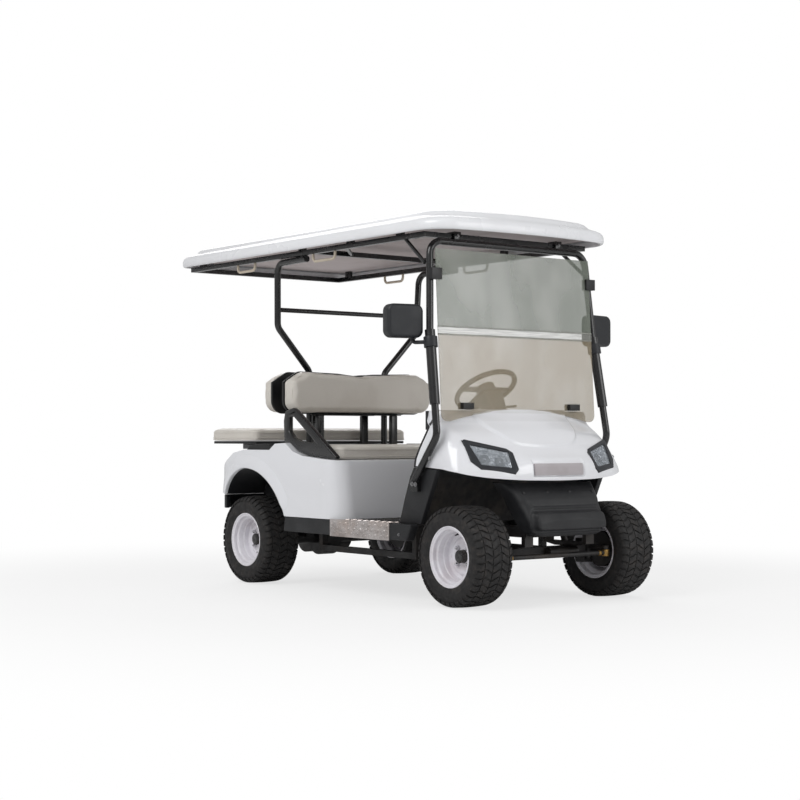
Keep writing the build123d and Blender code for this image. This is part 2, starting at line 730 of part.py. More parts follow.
# hip restraints: moulded loops beside the front cushion
restraint_y = cushion_half_width + swing_gap + 22
restraint_width = 32.0
with BuildPart() as restraints:
    for side in (-1, 1):
        with BuildSketch(side_plane(side * restraint_y + restraint_width / 2)) as loop:
            with BuildLine():
                Polyline(
                    (aft(352), 736.5), (aft(346), 850), (aft(360), 898), (aft(430), 914), (aft(462), 898),
                    (aft(812), 668), (aft(800), 657), (aft(757), 660), (aft(557), 676), (aft(470), 698),
                    (aft(402), 736.5), (aft(352), 736.5),
                )
            make_face()
            fillet(loop.vertices().filter_by_position(Axis.Y, 895, 915), 14)
            with BuildLine():
                Polyline(
                    (aft(394), 868), (aft(394), 796), (aft(436), 762), (aft(505), 742), (aft(632), 738),
                    (aft(436), 868), (aft(394), 868),
                )
            make_face(mode=Mode.SUBTRACT)
        extrude(amount=restraint_width)
keep(restraints, "hip_restraints")

# =========================== struts and roof frame ===========================
strut_run_z = roof_rail_z - rail_tube / 2 - strut_radius - trim_gap
rear_strut_base_y = 248.0
crossbar_z = 1432.0
with BuildPart() as rear_struts:
    for side in (-1, 1):
        tube([
            (aft(120), side * rear_strut_base_y, deck_z), (aft(120), side * rear_strut_base_y, 1115),
            (aft(135), side * 460, 1342), (aft(148), side * 470, strut_run_z),
            (aft(450), side * (roof_rail_y - 6), strut_run_z),
        ], strut_radius, 60)
    tube([(aft(142), -464, crossbar_z), (aft(142), 464, crossbar_z)], 12.0)
keep(rear_struts, "rear_struts")

strut_foot = (fore(-230), 564.0, 548.0)
strut_knee = (fore(-88), 535.0, 772.0)
strut_sleeve_top = (fore(-166), 514.0, 1256.0)
strut_shoulder = (fore(-200), 487.0, strut_run_z)
sleeve_radius = 24.0
sleeve_foot_z = 915.0
left_strut = [strut_foot, strut_knee, strut_sleeve_top, strut_shoulder]
strut_line = [(x, -y, z) for x, y, z in left_strut] + left_strut[::-1]
with BuildPart() as front_strut:
    tube(strut_line, strut_radius, 70)
    # foot plates on the valances
    for side in (-1, 1):
        plate_sides = sorted((side * (valance_y + 30), side * (strut_foot[1] - 8)))
        box_between((fore(-258), plate_sides[0], 516), (fore(-206), plate_sides[1], 588))
    share = (sleeve_foot_z - strut_knee[2]) / (strut_sleeve_top[2] - strut_knee[2])
    sleeve_foot = [a + share * (b - a) for a, b in zip(strut_knee, strut_sleeve_top)]
    for side in (-1, 1):
        ends = [(x, side * y, z) for x, y, z in (sleeve_foot, strut_sleeve_top)]
        tube(ends, sleeve_radius)
keep(front_strut, "front_strut")

lining_bottom = 1746.0
spacer_top = lining_bottom - trim_gap
mid_tube_x = aft(520)
with BuildPart() as roof_frame:
    tube_half = rail_tube / 2
    for side in (-1, 1):
        sides = sorted((side * roof_rail_y - tube_half, side * roof_rail_y + tube_half))
        box_between((roof_rail_tail_x, sides[0], roof_rail_z - tube_half),
                    (roof_rail_front_x, sides[1], roof_rail_z + tube_half))
        # knee brace from the rail down to the front strut
        tube([(fore(-371), side * roof_rail_y, roof_rail_z - 8), (fore(-216), side * (roof_rail_y + 6), 1570)], 9.0)
        # gusset in the plane of the roof
        tube([(aft(800), side * roof_rail_y, roof_rail_z), (mid_tube_x, side * 260, roof_rail_z)], 10.0)
    for station in (roof_rail_tail_x + tube_half, mid_tube_x, roof_rail_front_x - tube_half):
        box_between((station - tube_half, -roof_rail_y, roof_rail_z - tube_half),
                    (station + tube_half, roof_rail_y, roof_rail_z + tube_half))
    for station in (aft(-560), aft(420), aft(840), aft(1240)):
        for side in (-1, 1):
            sides = sorted((side * (roof_rail_y - 12), side * (roof_rail_y + 12)))
            box_between((station - 20, sides[0], roof_rail_z), (station + 20, sides[1], spacer_top))
keep(roof_frame, "roof_frame")

# roof skin: a tray turned upside down, lofted from its edge to its smaller top
roof_bow = 60.0
front_corner = 190.0
rear_corner = 50.0
# inset from the outline, height
roof_levels = [(6.0, roof_edge_z), (0.0, roof_edge_z + 30), (38.0, roof_top_z - 12), (86.0, roof_top_z)]


def roof_outline(inset):
    """Plan of the roof, its front edge bowed, moved inwards by the inset."""
    tail, nose, half_width = roof_tail_x + inset, roof_front_x - inset, roof_half_width - inset
    with BuildSketch() as outline:
        with BuildLine():
            Polyline((nose - roof_bow, half_width), (tail, half_width), (tail, -half_width), (nose - roof_bow, -half_width))
            ThreePointArc((nose - roof_bow, -half_width), (nose, 0), (nose - roof_bow, half_width))
        make_face()
        ends = outline.vertices().group_by(Axis.X)
        fillet(ends[0], rear_corner - 0.3 * inset)
        fillet(ends[-1], front_corner - 0.3 * inset)
    return outline.sketch


def roof_volume(skin):
    """Roof envelope, its walls moved inwards and its top down by the skin's thickness."""
    with BuildPart() as volume:
        for inset, height in roof_levels:
            drop = skin if height > roof_edge_z else 2 * skin
            with BuildSketch(Plane.XY.offset(height - drop)):
                add(roof_outline(inset + 1.5 * skin))
        loft(ruled=True)
    return volume.part


with BuildPart() as roof_panel:
    add(roof_volume(0.0))
    add(roof_volume(roof_skin), mode=Mode.SUBTRACT)
keep(roof_panel, "roof_panel")

lining_inset = 1.5 * roof_skin + 11.3
with BuildPart() as lining:
    with BuildSketch(Plane.XY.offset(lining_bottom)):
        add(roof_outline(lining_inset))
    extrude(amount=6.5)
keep(lining, "roof_lining")

# handles under the roof rails: station ahead of the rear axle of each end
with BuildPart() as handles:
    for tail, nose in ((-201, -31), (513, 706)):
        for side in (-1, 1):
            handle_y = side * (roof_rail_y - 2)
            top = roof_rail_z - rail_tube / 2 - trim_gap
            tube([
                (aft(tail), handle_y, top), (aft(tail), handle_y, top - 38),
                (aft(nose), handle_y, top - 38), (aft(nose), handle_y, top),
            ], 7.0, 24)
keep(handles, "grab_handles")

# =========================== windscreen ===========================
lean = (glass_head[0] - glass_foot[0]) / (glass_head[1] - glass_foot[1])


def glass_x(height):
    """Rear face of the windscreen at a height."""
    return glass_foot[0] + lean * (height - glass_foot[1])


def pane(low, high, arched, grow=0.0):
    """One pane of the windscreen; an arched foot drops towards rounded corners."""
    plane = Plane(origin=(glass_x(0), 0, 0), x_dir=(0, 1, 0), z_dir=(1, 0, -lean))
    stretch = (1 + lean ** 2) ** 0.5
    half_width = glass_half_width + grow
    with BuildPart() as sheet:
        with BuildSketch(plane.offset(-grow)) as outline:
            with BuildLine():
                foot = low * stretch - grow
                top = high * stretch + grow
                corner_z = foot - (glass_foot_drop if arched else 0.0)
                Polyline((-half_width, corner_z), (-half_width, top), (half_width, top), (half_width, corner_z))
                if arched:
                    shoulder = half_width - 50
                    Line((half_width, corner_z), (shoulder, corner_z))
                    ThreePointArc((shoulder, corner_z), (0, foot), (-shoulder, corner_z))
                    Line((-shoulder, corner_z), (-half_width, corner_z))
                else:
                    Line((half_width, foot), (-half_width, foot))
            make_face()
            if arched:
                edge_points = outline.vertices().filter_by(lambda v: abs(v.X) > half_width - 1)
                fillet(edge_points.sort_by(Axis.Y)[:2], glass_corner)
        extrude(amount=glass_thickness + 2 * grow)
        # clearance holes for the bolts of the foot clips
        if arched and not grow:
            for side in (-1, 1):
                with Locations(clip_plane(side)):
                    Cylinder(clip_bolt_radius + trim_gap, 80, mode=Mode.SUBTRACT)
    return sheet.part


clip_y = 335.0
clip_z = 906.0
clip_bolt_radius = 4.0


def clip_plane(side):
    """Plane of the windscreen at a foot clip's bolt."""
    return Plane(origin=(glass_x(clip_z), side * clip_y, clip_z), z_dir=(1, 0, -lean))


lower_top = glass_split_z - glass_split_gap / 2
upper_foot = glass_split_z + glass_split_gap / 2
with BuildPart() as lower_pane:
    add(pane(glass_foot[1], lower_top, True))
keep(lower_pane, "windshield_lower")
with BuildPart() as upper_pane:
    add(pane(upper_foot, glass_head[1], False))
keep(upper_pane, "windshield_upper")

around_lower = pane(glass_foot[1], lower_top, True, trim_gap)
around_upper = pane(upper_foot, glass_head[1], False, trim_gap)
upper_clip_z = 1516.0
hinge_strip = Plane(origin=(glass_x(glass_split_z), 0, glass_split_z), x_dir=(0, 1, 0), z_dir=(1, 0, -lean))
with BuildPart() as strip:
    with BuildSketch(hinge_strip.offset(-3)):
        Rectangle(2 * glass_half_width, glass_split_gap + 14)
    extrude(amount=glass_thickness + 6)
    add(around_lower, mode=Mode.SUBTRACT)
    add(around_upper, mode=Mode.SUBTRACT)
keep(strip, "windshield_hinge")

with BuildPart() as fittings:
    for side in (-1, 1):
        # foot clip and head clip
        inner = sorted((side * (clip_y - 32), side * (clip_y + 32)))
        box_between((glass_x(clip_z) - 16, inner[0], clip_z - 12), (glass_x(clip_z) + 26, inner[1], clip_z + 18))
        outer = sorted((side * (glass_half_width - 26), side * (glass_half_width + 32)))
        box_between((glass_x(upper_clip_z) - 16, outer[0], upper_clip_z - 26),
                    (glass_x(upper_clip_z) + 16, outer[1], upper_clip_z + 26))
    add(around_lower, mode=Mode.SUBTRACT)
    add(around_upper, mode=Mode.SUBTRACT)
    tube(strut_line, strut_radius + trim_gap, 70, Mode.SUBTRACT)
    for side in (-1, 1):
        with Locations(clip_plane(side).offset(-8)):
            Cylinder(clip_bolt_radius, 24, align=(Align.CENTER, Align.CENTER, Align.MIN))
keep(fittings, "windshield_fittings")

# =========================== front cowl ===========================
cowl_back_x = fore(-300)
cowl_top = 888.0
# height, then the half outline from the nose to the side: ahead of the front axle, half width
cowl_levels = [
    (556.0, [(157, 0), (152, 130), (138, 250), (95, 400), (26, 510), (-90, 528)]),
    (612.0, [(157, 0), (151, 130), (135, 250), (88, 400), (18, 507), (-90, 527)]),
    (650.0, [(148, 0), (143, 130), (116, 250), (64, 400), (5, 499), (-95, 525)]),
    (690.0, [(98, 0), (95, 130), (84, 250), (42, 400), (-14, 488), (-105, 519)]),
    (730.0, [(52, 0), (50, 130), (42, 250), (12, 400), (-34, 474), (-120, 510)]),
    (780.0, [(1, 0), (0, 130), (-10, 250), (-46, 400), (-80, 462), (-145, 497)]),
    (832.0, [(-58, 0), (-62, 130), (-80, 250), (-127, 400), (-153, 462), (-210, 486)]),
    (870.0, [(-101, 0), (-107, 130), (-130, 250), (-134, 380), (-148, 445), (-212, 478)]),
    (cowl_top, [(-123, 0), (-134, 130), (-136, 250), (-139, 370), (-153, 440), (-214, 474)]),
]
# rear edge of the cowl, seen from the side: ahead of the front axle, height
band_line = [(-268, 626.5), (-264, 667), (-236, 744), (-211, 805), (-194, 850), (-184, 900)]
band_width = 12.0
lip_line = [(160, 566), (95, 583), (21, 606), (-60, 620), (-310, 636)]


def cowl_half(skin):
    """Left half of the cowl's envelope, moved inwards by the skin's thickness."""
    back = cowl_back_x - 6 * skin
    across = min(0.0, -2 * skin)
    with BuildPart() as volume:
        for height, outline in cowl_levels:
            shrink_x = 1 - skin / (fore(outline[0][0]) - cowl_back_x)
            shrink_y = 1 - skin / outline[-1][1]
            shape = [(cowl_back_x + (fore(x) - cowl_back_x) * shrink_x, y * shrink_y) for x, y in outline]
            closing = [shape[-1], (back, shape[-1][1]), (back, across), (shape[0][0], across)]
            if across:
                closing.append(shape[0])
            drop = 60.0 if height == cowl_levels[0][0] and skin > 0 else skin
            with BuildSketch(Plane.XY.offset(height - drop)):
                with BuildLine():
                    Polyline(*shape)
                    Polyline(*closing)
                make_face()
        loft(ruled=True)
    return volume.part


def band_face(near, far):
    """Side view of the strip between two offsets ahead of the band line."""
    with BuildSketch() as face:
        with BuildLine():
            first = [(fore(x) + near, z) for x, z in band_line]
            second = [(fore(x) + far, z) for x, z in reversed(band_line)]
            Polyline(*first, *second, close=True)
        make_face()
    return face.sketch


# lamp plane on the right: its centre, its sideways direction and its outward direction
lamp_centre = (fore(66.5), -343.2, 676.5)
lamp_sideways = (0.3156, 0.9489, 0.0)
lamp_outward = (0.8110, -0.2698, 0.5191)
bezel_outline = [(-126, 95), (80, 43), (109, 21), (120, -67), (101, -88), (-63, -66), (-104, -22)]
lens_outline = [(-96, 65), (88, 24), (92, -58), (-56, -42)]


def lamp_prism(outline, corner, grow, near, far):
    """Prism on both lamp planes between two heights above them."""
    right = Plane(origin=lamp_centre, x_dir=lamp_sideways, z_dir=lamp_outward)
    with BuildPart() as prism:
        with BuildSketch(right.offset(near)) as face:
            with BuildLine():
                Polyline(*outline, close=True)
            make_face()
            fillet(face.vertices(), corner)
            if grow:
                offset(amount=grow)
        extrude(amount=far - near)
        mirror(about=Plane.XZ)
    return prism.part


plate_half_width = 150.0
plate_low = 590.0
plate_high = 646.0
reach = 2 * body_half_width
band_back = band_face(-400, band_width + trim_gap)
band_shape = band_face(0, band_width)
lamp_hole = lamp_prism(bezel_outline, 9, trim_gap, -70, 60)
with BuildPart() as cowl:
    add(cowl_half(0.0))
    add(cowl_half(panel), mode=Mode.SUBTRACT)
    with BuildSketch(side_plane(body_half_width)):
        add(band_back)
        with BuildLine():
            lip = [(fore(x), z) for x, z in lip_line]
            Polyline(*lip, (lip[-1][0], 400), (lip[0][0], 400), close=True)
        make_face()
    extrude(amount=reach, mode=Mode.SUBTRACT)
    add(lamp_hole, mode=Mode.SUBTRACT)
    mirror(about=Plane.XZ)
    # backing of the blank plate in the nose
    box_between((fore(146), -plate_half_width, plate_low), (fore(156), plate_half_width, plate_high))
keep(cowl, "front_cowl")

lamp_pocket = lamp_prism(lens_outline, 6, trim_gap, -30, 20)
with BuildPart() as bezels:
    add(lamp_prism(bezel_outline, 9, 0.0, -40, 3))
    add(lamp_pocket, mode=Mode.SUBTRACT)
keep(bezels, "headlamp_bezels")

with BuildPart() as lenses:
    add(lamp_prism(lens_outline, 6, 0.0, -5, -1))
keep(lenses, "headlamp_lenses")

# =========================== dashboard ===========================
shelf_back = fore(-305)
shelf_front = fore(-200)
shelf_half = 430.0
shelf_floor = 800.0
cup_radius = 40.0
band_ahead = band_face(band_width, 400)
with BuildPart() as dash:
    with BuildSketch(side_plane(body_half_width)):
        add(band_shape)
    extrude(amount=body_half_width)
    add(cowl_half(-2.0), mode=Mode.INTERSECT)
    mirror(about=Plane.XZ)
    box_between((shelf_back, -shelf_half, shelf_floor), (fore(-150), shelf_half, cowl_top))
    with BuildSketch(side_plane(body_half_width)):
        add(band_ahead)
    extrude(amount=reach, mode=Mode.SUBTRACT)
    for side in (-1, 1):
        pocket = sorted((side * 130, side * (shelf_half - 10)))
        box_between((shelf_back + 8, pocket[0], shelf_floor + 8), (shelf_front, pocket[1], cowl_top),
                    Mode.SUBTRACT)
        with Locations((shelf_back + 50, side * 62, cowl_top)):
            Hole(cup_radius, depth=cowl_top - shelf_floor - 8)
keep(dash, "dashboard")

with BuildPart() as valances:
    for side in (-1, 1):
        with BuildSketch(side_plane(max(side * valance_y, side * (valance_y + 30)))):
            with BuildLine():
                Polyline(
                    (fore(-370), floor_top), (fore(-332), 474), (fore(-292), 574), (fore(-262), 626),
                    (fore(-92), 616), (fore(-210), floor_top), close=True,
                )
            make_face()
        extrude(amount=30)
keep(valances, "front_valances")

# =========================== front bumper ===========================
bumper_foot_z = 317.0
# side profile: ahead of the front axle, height, half width
bumper_line = [(86, 556, 284), (149, 506, 257), (206, 430, 239), (233, 380, 231), (240, 335, 214), (222, 317, 196)]
pad_half = 212.0


def bumper_volume(skin):
    """Envelope of the bumper, moved inwards by the skin's thickness; the back is open."""
    with BuildPart() as volume:
        with BuildSketch(side_plane(400)):
            with BuildLine():
                front = [(fore(x) - skin, z) for x, z, y in bumper_line]
                front[-1] = (front[-1][0], bumper_foot_z + skin)
                Polyline(*front, (fore(180) - 4 * skin, bumper_foot_z + skin), (fore(110) - 4 * skin, 430),
                         (fore(40) - 4 * skin, 556), close=True)
            make_face()
        extrude(amount=800)
        with BuildSketch(front_plane(fore(300))):
            with BuildLine():
                left = [(y - skin, z) for x, z, y in bumper_line]
                Polyline(*left, *[(-y, z) for y, z in reversed(left)], close=True)
            make_face()
        extrude(amount=-400, mode=Mode.INTERSECT)
    return volume.part


with BuildPart() as bumper:
    add(bumper_volume(0.0))
    add(bumper_volume(8.0), mode=Mode.SUBTRACT)
    box_between((fore(212), -90, 330), (fore(234), 90, 372))
    with BuildSketch(front_plane(fore(224))):
        with Locations((0, 386)):
            RectangleRounded(2 * pad_half, 82, 16)
    extrude(amount=21)
keep(bumper, "front_bumper")

# =========================== steering column and wheel ===========================
hub_x, hub_y, hub_z = wheel_hub
column_up = (-cos(radians(column_angle)), 0, sin(radians(column_angle)))


def column_plane(distance):
    """Plane across the steering column, measured downwards from the wheel's hub."""
    origin = (hub_x - distance * column_up[0], hub_y, hub_z - distance * column_up[2])
    return Plane(origin=origin, x_dir=(0, 1, 0), z_dir=column_up)


toe_slope = (toe_top[1] - rail_top) / (toe_top[0] - toe_foot_x)
toe_plane = Plane(origin=(toe_foot_x - 3, 0, floor_top), x_dir=(0, 1, 0), z_dir=(-toe_slope, 0, 1))
shroud_top = 44.0
shaft_radius = 11.0
shaft_foot = 70.0
with BuildPart() as column:
    with BuildSketch(column_plane(720)):
        Circle(column_radius)
    extrude(amount=720 - shroud_top)
    split(bisect_by=toe_plane, keep=Keep.TOP)
    # shroud below the wheel, with the direction lever on its left
    with BuildSketch(column_plane(230)):
        RectangleRounded(80, 70, 16)
    with BuildSketch(column_plane(shroud_top)):
        RectangleRounded(118, 104, 20)
    loft()
    with BuildSketch(column_plane(shaft_foot + 4)):
        Circle(shaft_radius + running_fit)
    extrude(amount=shaft_foot, mode=Mode.SUBTRACT)
    lever_root = column_plane(110).origin
    tube([(lever_root.X, lever_root.Y + 40, lever_root.Z), (lever_root.X, lever_root.Y + 150, lever_root.Z + 8)], 6.0)
keep(column, "steering_column")

rim_ring = steering_wheel_diameter / 2 - steering_rim_radius
wheel_section = Plane(origin=wheel_hub, x_dir=(0, 1, 0), z_dir=(column_up[2], 0, -column_up[0]))
with BuildPart() as wheel:
    with BuildSketch(wheel_section):
        with Locations((rim_ring, 0)):
            Circle(steering_rim_radius)
    revolve(axis=Axis(wheel_hub, column_up))
    with BuildSketch(column_plane(24)):
        Circle(50)
    extrude(amount=38)
    with BuildSketch(column_plane(4)):
        for angle, width in ((0, 34), (180, 34), (90, 52)):
            with Locations(Rot(0, 0, angle) * Pos(rim_ring / 2, 0)):
                Rectangle(rim_ring, width)
    extrude(amount=8)
    with BuildSketch(column_plane(shaft_foot)):
        Circle(shaft_radius)
    extrude(amount=shaft_foot - 10)
keep(wheel, "steering_wheel")

with BuildPart() as pedals:
    for pedal_y, pad_width, tip_z in ((130, 74, 470), (232, 96, 480)):
        near, far = pedal_y + 9, pedal_y - 9
        box_between((fore(-392), far, floor_top), (fore(-356), near, floor_top + 22))
        with BuildSketch(side_plane(near)):
            with BuildLine():
                Polyline(
                    (fore(-390), floor_top + 10), (fore(-372), floor_top + 10), (fore(-378), tip_z - 40),
                    (fore(-372), tip_z), (fore(-384), tip_z), (fore(-396), tip_z - 40), close=True,
                )
            make_face()
        extrude(amount=18)
        with BuildSketch(side_plane(pedal_y + pad_width / 2)):
            with BuildLine():
                Polyline(
                    (fore(-398), tip_z - 44), (fore(-386), tip_z - 46), (fore(-374), tip_z + 30),
                    (fore(-386), tip_z + 32), close=True,
                )
            make_face()
        extrude(amount=pad_width)
keep(pedals, "pedals")

# =========================== mirrors ===========================
mirror_centre = (fore(-236), 612.0, 1297.0)
mirror_size = (60.0, 180.0, 155.0)
mirror_turn = radians(12)
mirror_plane = Plane(origin=mirror_centre, x_dir=(-sin(mirror_turn), cos(mirror_turn), 0), z_dir=(cos(mirror_turn), sin(mirror_turn), 0))
mirror_axis = Axis(mirror_centre, mirror_plane.z_dir)
clamp_z = 1200.0
clamp_share = (clamp_z - strut_knee[2]) / (strut_sleeve_top[2] - strut_knee[2])
clamp_at = [a + clamp_share * (b - a) for a, b in zip(strut_knee, strut_sleeve_top)]
sleeve_up = Vector(*[b - a for a, b in zip(strut_knee, strut_sleeve_top)]).normalized()
with BuildPart() as mirrors:
    with BuildSketch(mirror_plane.offset(-mirror_size[0] / 2)):
        RectangleRounded(mirror_size[1], mirror_size[2], 34)
    extrude(amount=mirror_size[0])
    fillet(mirrors.faces().sort_by(mirror_axis)[-1].edges(), 16)
    # arm to the clamp round the strut's sleeve
    arm_y = mirror_centre[1] - 52
    tube([
        (mirror_centre[0], arm_y, mirror_centre[2] - 60), (mirror_centre[0], arm_y, clamp_z),
        (clamp_at[0] - 6, clamp_at[1] + 6, clamp_z),
    ], 9.0, 16)
    with BuildSketch(Plane(origin=clamp_at, z_dir=sleeve_up).offset(-24)):
        Circle(sleeve_radius + 8)
    extrude(amount=48)
    with BuildSketch(Plane(origin=clamp_at, z_dir=sleeve_up).offset(-40)):
        Circle(sleeve_radius + trim_gap)
    extrude(amount=80, mode=Mode.SUBTRACT)
    mirror(about=Plane.XZ)
keep(mirrors, "mirrors")
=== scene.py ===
import math
import random

import bpy
from mathutils import Matrix, Vector


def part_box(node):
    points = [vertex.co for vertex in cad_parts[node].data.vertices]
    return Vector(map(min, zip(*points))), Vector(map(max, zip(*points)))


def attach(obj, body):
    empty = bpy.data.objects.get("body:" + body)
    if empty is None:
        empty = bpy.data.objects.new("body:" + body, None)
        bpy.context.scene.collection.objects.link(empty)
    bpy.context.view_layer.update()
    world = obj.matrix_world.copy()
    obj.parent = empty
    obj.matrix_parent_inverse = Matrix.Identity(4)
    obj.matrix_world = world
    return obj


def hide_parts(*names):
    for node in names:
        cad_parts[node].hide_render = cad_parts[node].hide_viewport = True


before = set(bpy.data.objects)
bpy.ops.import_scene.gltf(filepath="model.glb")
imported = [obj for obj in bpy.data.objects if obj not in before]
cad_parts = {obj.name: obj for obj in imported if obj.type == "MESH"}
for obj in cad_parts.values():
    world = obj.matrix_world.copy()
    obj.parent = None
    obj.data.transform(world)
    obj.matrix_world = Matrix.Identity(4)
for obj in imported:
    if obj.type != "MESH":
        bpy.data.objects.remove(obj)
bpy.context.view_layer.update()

print("frame loaded:", len(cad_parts), "nodes")


# small tools that the pieces share
def clearSelection():
    if bpy.context.mode != "OBJECT":
        bpy.ops.object.mode_set(mode="OBJECT")
    bpy.ops.object.select_all(action="DESELECT")


def activate(piece):
    clearSelection()
    piece.select_set(True)
    bpy.context.view_layer.objects.active = piece
    return piece


def settle(piece):  # puts the object's place into its mesh
    activate(piece)
    bpy.ops.object.transform_apply(location=True, rotation=True, scale=True)
    return piece


def pick(piece, kind, test):  # edit mode, with the vertices, edges or faces selected that pass the test
    activate(piece)
    bpy.context.tool_settings.mesh_select_mode = (kind == "VERT", kind == "EDGE", kind == "FACE")
    mesh = piece.data
    for group in (mesh.vertices, mesh.edges, mesh.polygons):
        group.foreach_set("select", [False] * len(group))
    if kind == "VERT":
        for vertex in mesh.vertices:
            vertex.select = test(vertex.co)
    elif kind == "EDGE":
        for edge in mesh.edges:
            first, last = (mesh.vertices[i].co for i in edge.vertices)
            edge.select = test(first, last)
    else:
        for face in mesh.polygons:
            face.select = test(face.center, face.normal)
    bpy.ops.object.mode_set(mode="EDIT")


def leaveEdit():
    bpy.ops.object.mode_set(mode="OBJECT")


def withModifier(piece, kind, **settings):
    activate(piece)
    modifier = piece.modifiers.new(kind.capitalize(), kind)
    for name, value in settings.items():
        setattr(modifier, name, value)
    bpy.ops.object.modifier_apply(modifier=modifier.name)
    return piece


def smooth(piece, degrees=35):
    activate(piece)
    bpy.ops.object.shade_smooth_by_angle(angle=math.radians(degrees))
    return piece


def editAll(piece):  # edit mode, with the whole mesh selected
    activate(piece)
    bpy.ops.object.mode_set(mode="EDIT")
    bpy.ops.mesh.select_all(action="SELECT")


def tidyMesh(piece, gap=0.00002):
    editAll(piece)
    bpy.ops.mesh.remove_doubles(threshold=gap)
    bpy.ops.mesh.normals_make_consistent(inside=False)
    leaveEdit()
    return piece


def named(name):  # the primitive that was just added
    piece = bpy.context.active_object
    piece.name = name
    return piece


def block(name, low, high, bevel=0.0, segments=3):
    middle = [(a + b) / 2 for a, b in zip(low, high)]
    span = [b - a for a, b in zip(low, high)]
    clearSelection()
    bpy.ops.mesh.primitive_cube_add(size=1, location=middle, scale=span)
    piece = settle(named(name))
    if bevel:
        withModifier(piece, "BEVEL", width=bevel, segments=segments, limit_method="ANGLE")
        smooth(piece)
    return piece


def rod(name, start, end, radius, sides, bevel=0.0, farRadius=None):
    start, end = Vector(start), Vector(end)
    run = end - start
    clearSelection()
    bpy.ops.mesh.primitive_cone_add(
        vertices=sides, radius1=radius, radius2=radius if farRadius is None else farRadius,
        depth=run.length, location=(start + end) / 2, rotation=run.to_track_quat("Z", "Y").to_euler())
    piece = settle(named(name))
    if bevel:
        withModifier(piece, "BEVEL", width=bevel, segments=3, limit_method="ANGLE",
                     angle_limit=math.radians(40))
    return smooth(piece, 40)


def sheet(name, across, up, size=2):  # a flat grid, which is then shaped point by point
    clearSelection()
    bpy.ops.mesh.primitive_grid_add(x_subdivisions=across, y_subdivisions=up, size=size)
    return named(name)


def outlineMesh(name, points):  # a line of edges, extruded point by point and left in edit mode
    clearSelection()
    bpy.ops.mesh.primitive_plane_add(size=0.01, location=points[0])
    piece = settle(named(name))
    editAll(piece)
    bpy.ops.mesh.merge(type="CENTER")
    for before, after in zip(points, points[1:]):
        step = [b - a for a, b in zip(before, after)]
        bpy.ops.mesh.extrude_region_move(TRANSFORM_OT_translate={"value": step})
    return piece


def turned(name, profile, steps, wall=0.0):  # profile of (station on Y, radius), spun round the Y axis
    piece = outlineMesh(name, [(0, station, radius) for station, radius in profile])
    bpy.ops.mesh.select_all(action="SELECT")
    bpy.ops.mesh.spin(steps=steps, angle=2 * math.pi, center=(0, 0, 0), axis=(0, 1, 0))
    leaveEdit()
    tidyMesh(piece, 0.00005)
    if wall:
        withModifier(piece, "SOLIDIFY", thickness=wall, offset=0)
    return smooth(piece, 30)


def twin(piece, name, matrix):  # a copy with its own mesh, moved in its mesh
    other = piece.copy()
    other.data = piece.data.copy()
    other.name = other.data.name = name
    bpy.context.scene.collection.objects.link(other)
    other.data.transform(matrix)
    if matrix.determinant() < 0:
        other.data.flip_normals()
    return other


def joined(name, pieces):
    clearSelection()
    for piece in pieces:
        piece.select_set(True)
    bpy.context.view_layer.objects.active = pieces[0]
    bpy.ops.object.join()
    pieces[0].name = pieces[0].data.name = name
    return pieces[0]


mirrorAcross = Matrix.Scale(-1, 4, (0, 1, 0))


def bothSides(name, piece):  # joins a piece and its mirror image across the middle of the cart
    return joined(name, [piece, twin(piece, name + "_other", mirrorAcross)])


def fromNode(name, node):  # a merged copy of a solid, its flat faces made whole
    piece = bpy.data.objects.new(name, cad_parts[node].data.copy())
    bpy.context.scene.collection.objects.link(piece)
    editAll(piece)
    bpy.ops.mesh.customdata_custom_splitnormals_clear()
    bpy.ops.mesh.remove_doubles(threshold=0.00005)
    bpy.ops.mesh.dissolve_limited(angle_limit=math.radians(1))
    leaveEdit()
    return piece


def softened(name, node, width, segments=3):  # the solid with rounded edges
    piece = fromNode(name, node)
    withModifier(piece, "BEVEL", width=width, segments=segments, limit_method="ANGLE",
                 angle_limit=math.radians(30), use_clamp_overlap=True)
    return smooth(piece, 40)


def keep(piece, finish, slot, *replaced, body="cart_body"):  # a piece that is done, and what it stands for
    settle(piece)
    piece.data.materials.clear()
    piece.data.materials.append(finishes[finish])
    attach(piece, body)
    if replaced:
        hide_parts(*replaced)
    return piece


def spline(values, at):  # Catmull-Rom through evenly numbered values
    last = len(values) - 1
    at = min(max(at, 0.0), last)
    i = min(int(at), last - 1)
    t = at - i
    b, c = values[i], values[i + 1]
    a = values[i - 1] if i else 2 * b - c
    d = values[i + 2] if i + 2 <= last else 2 * c - b
    return 0.5 * (2 * b + (c - a) * t + (2 * a - 5 * b + 4 * c - d) * t * t + (3 * b - a - 3 * c + d) * t ** 3)


def between(low, high, value):  # smooth step from 0 at low to 1 at high
    t = min(max((value - low) / (high - low), 0.0), 1.0)
    return t * t * (3 - 2 * t)


def tone(red, green, blue):  # screen colour, 0 to 255, as the linear colour that nodes use
    parts = [c / 255 for c in (red, green, blue)]
    return (*[c / 12.92 if c <= 0.04045 else ((c + 0.055) / 1.055) ** 2.4 for c in parts], 1.0)


class Wire:  # a node's output with arithmetic: each sign adds its Math node
    def __init__(self, nodes, socket):
        self.nodes, self.socket = nodes, socket

    def maths(self, operation, first, second):
        return self.nodes.node("ShaderNodeMath", {"operation": operation}, {0: first, 1: second})

    def __add__(self, other): return self.maths("ADD", self, other)
    def __radd__(self, other): return self.maths("ADD", other, self)
    def __sub__(self, other): return self.maths("SUBTRACT", self, other)
    def __rsub__(self, other): return self.maths("SUBTRACT", other, self)
    def __mul__(self, other): return self.maths("MULTIPLY", self, other)
    def __rmul__(self, other): return self.maths("MULTIPLY", other, self)


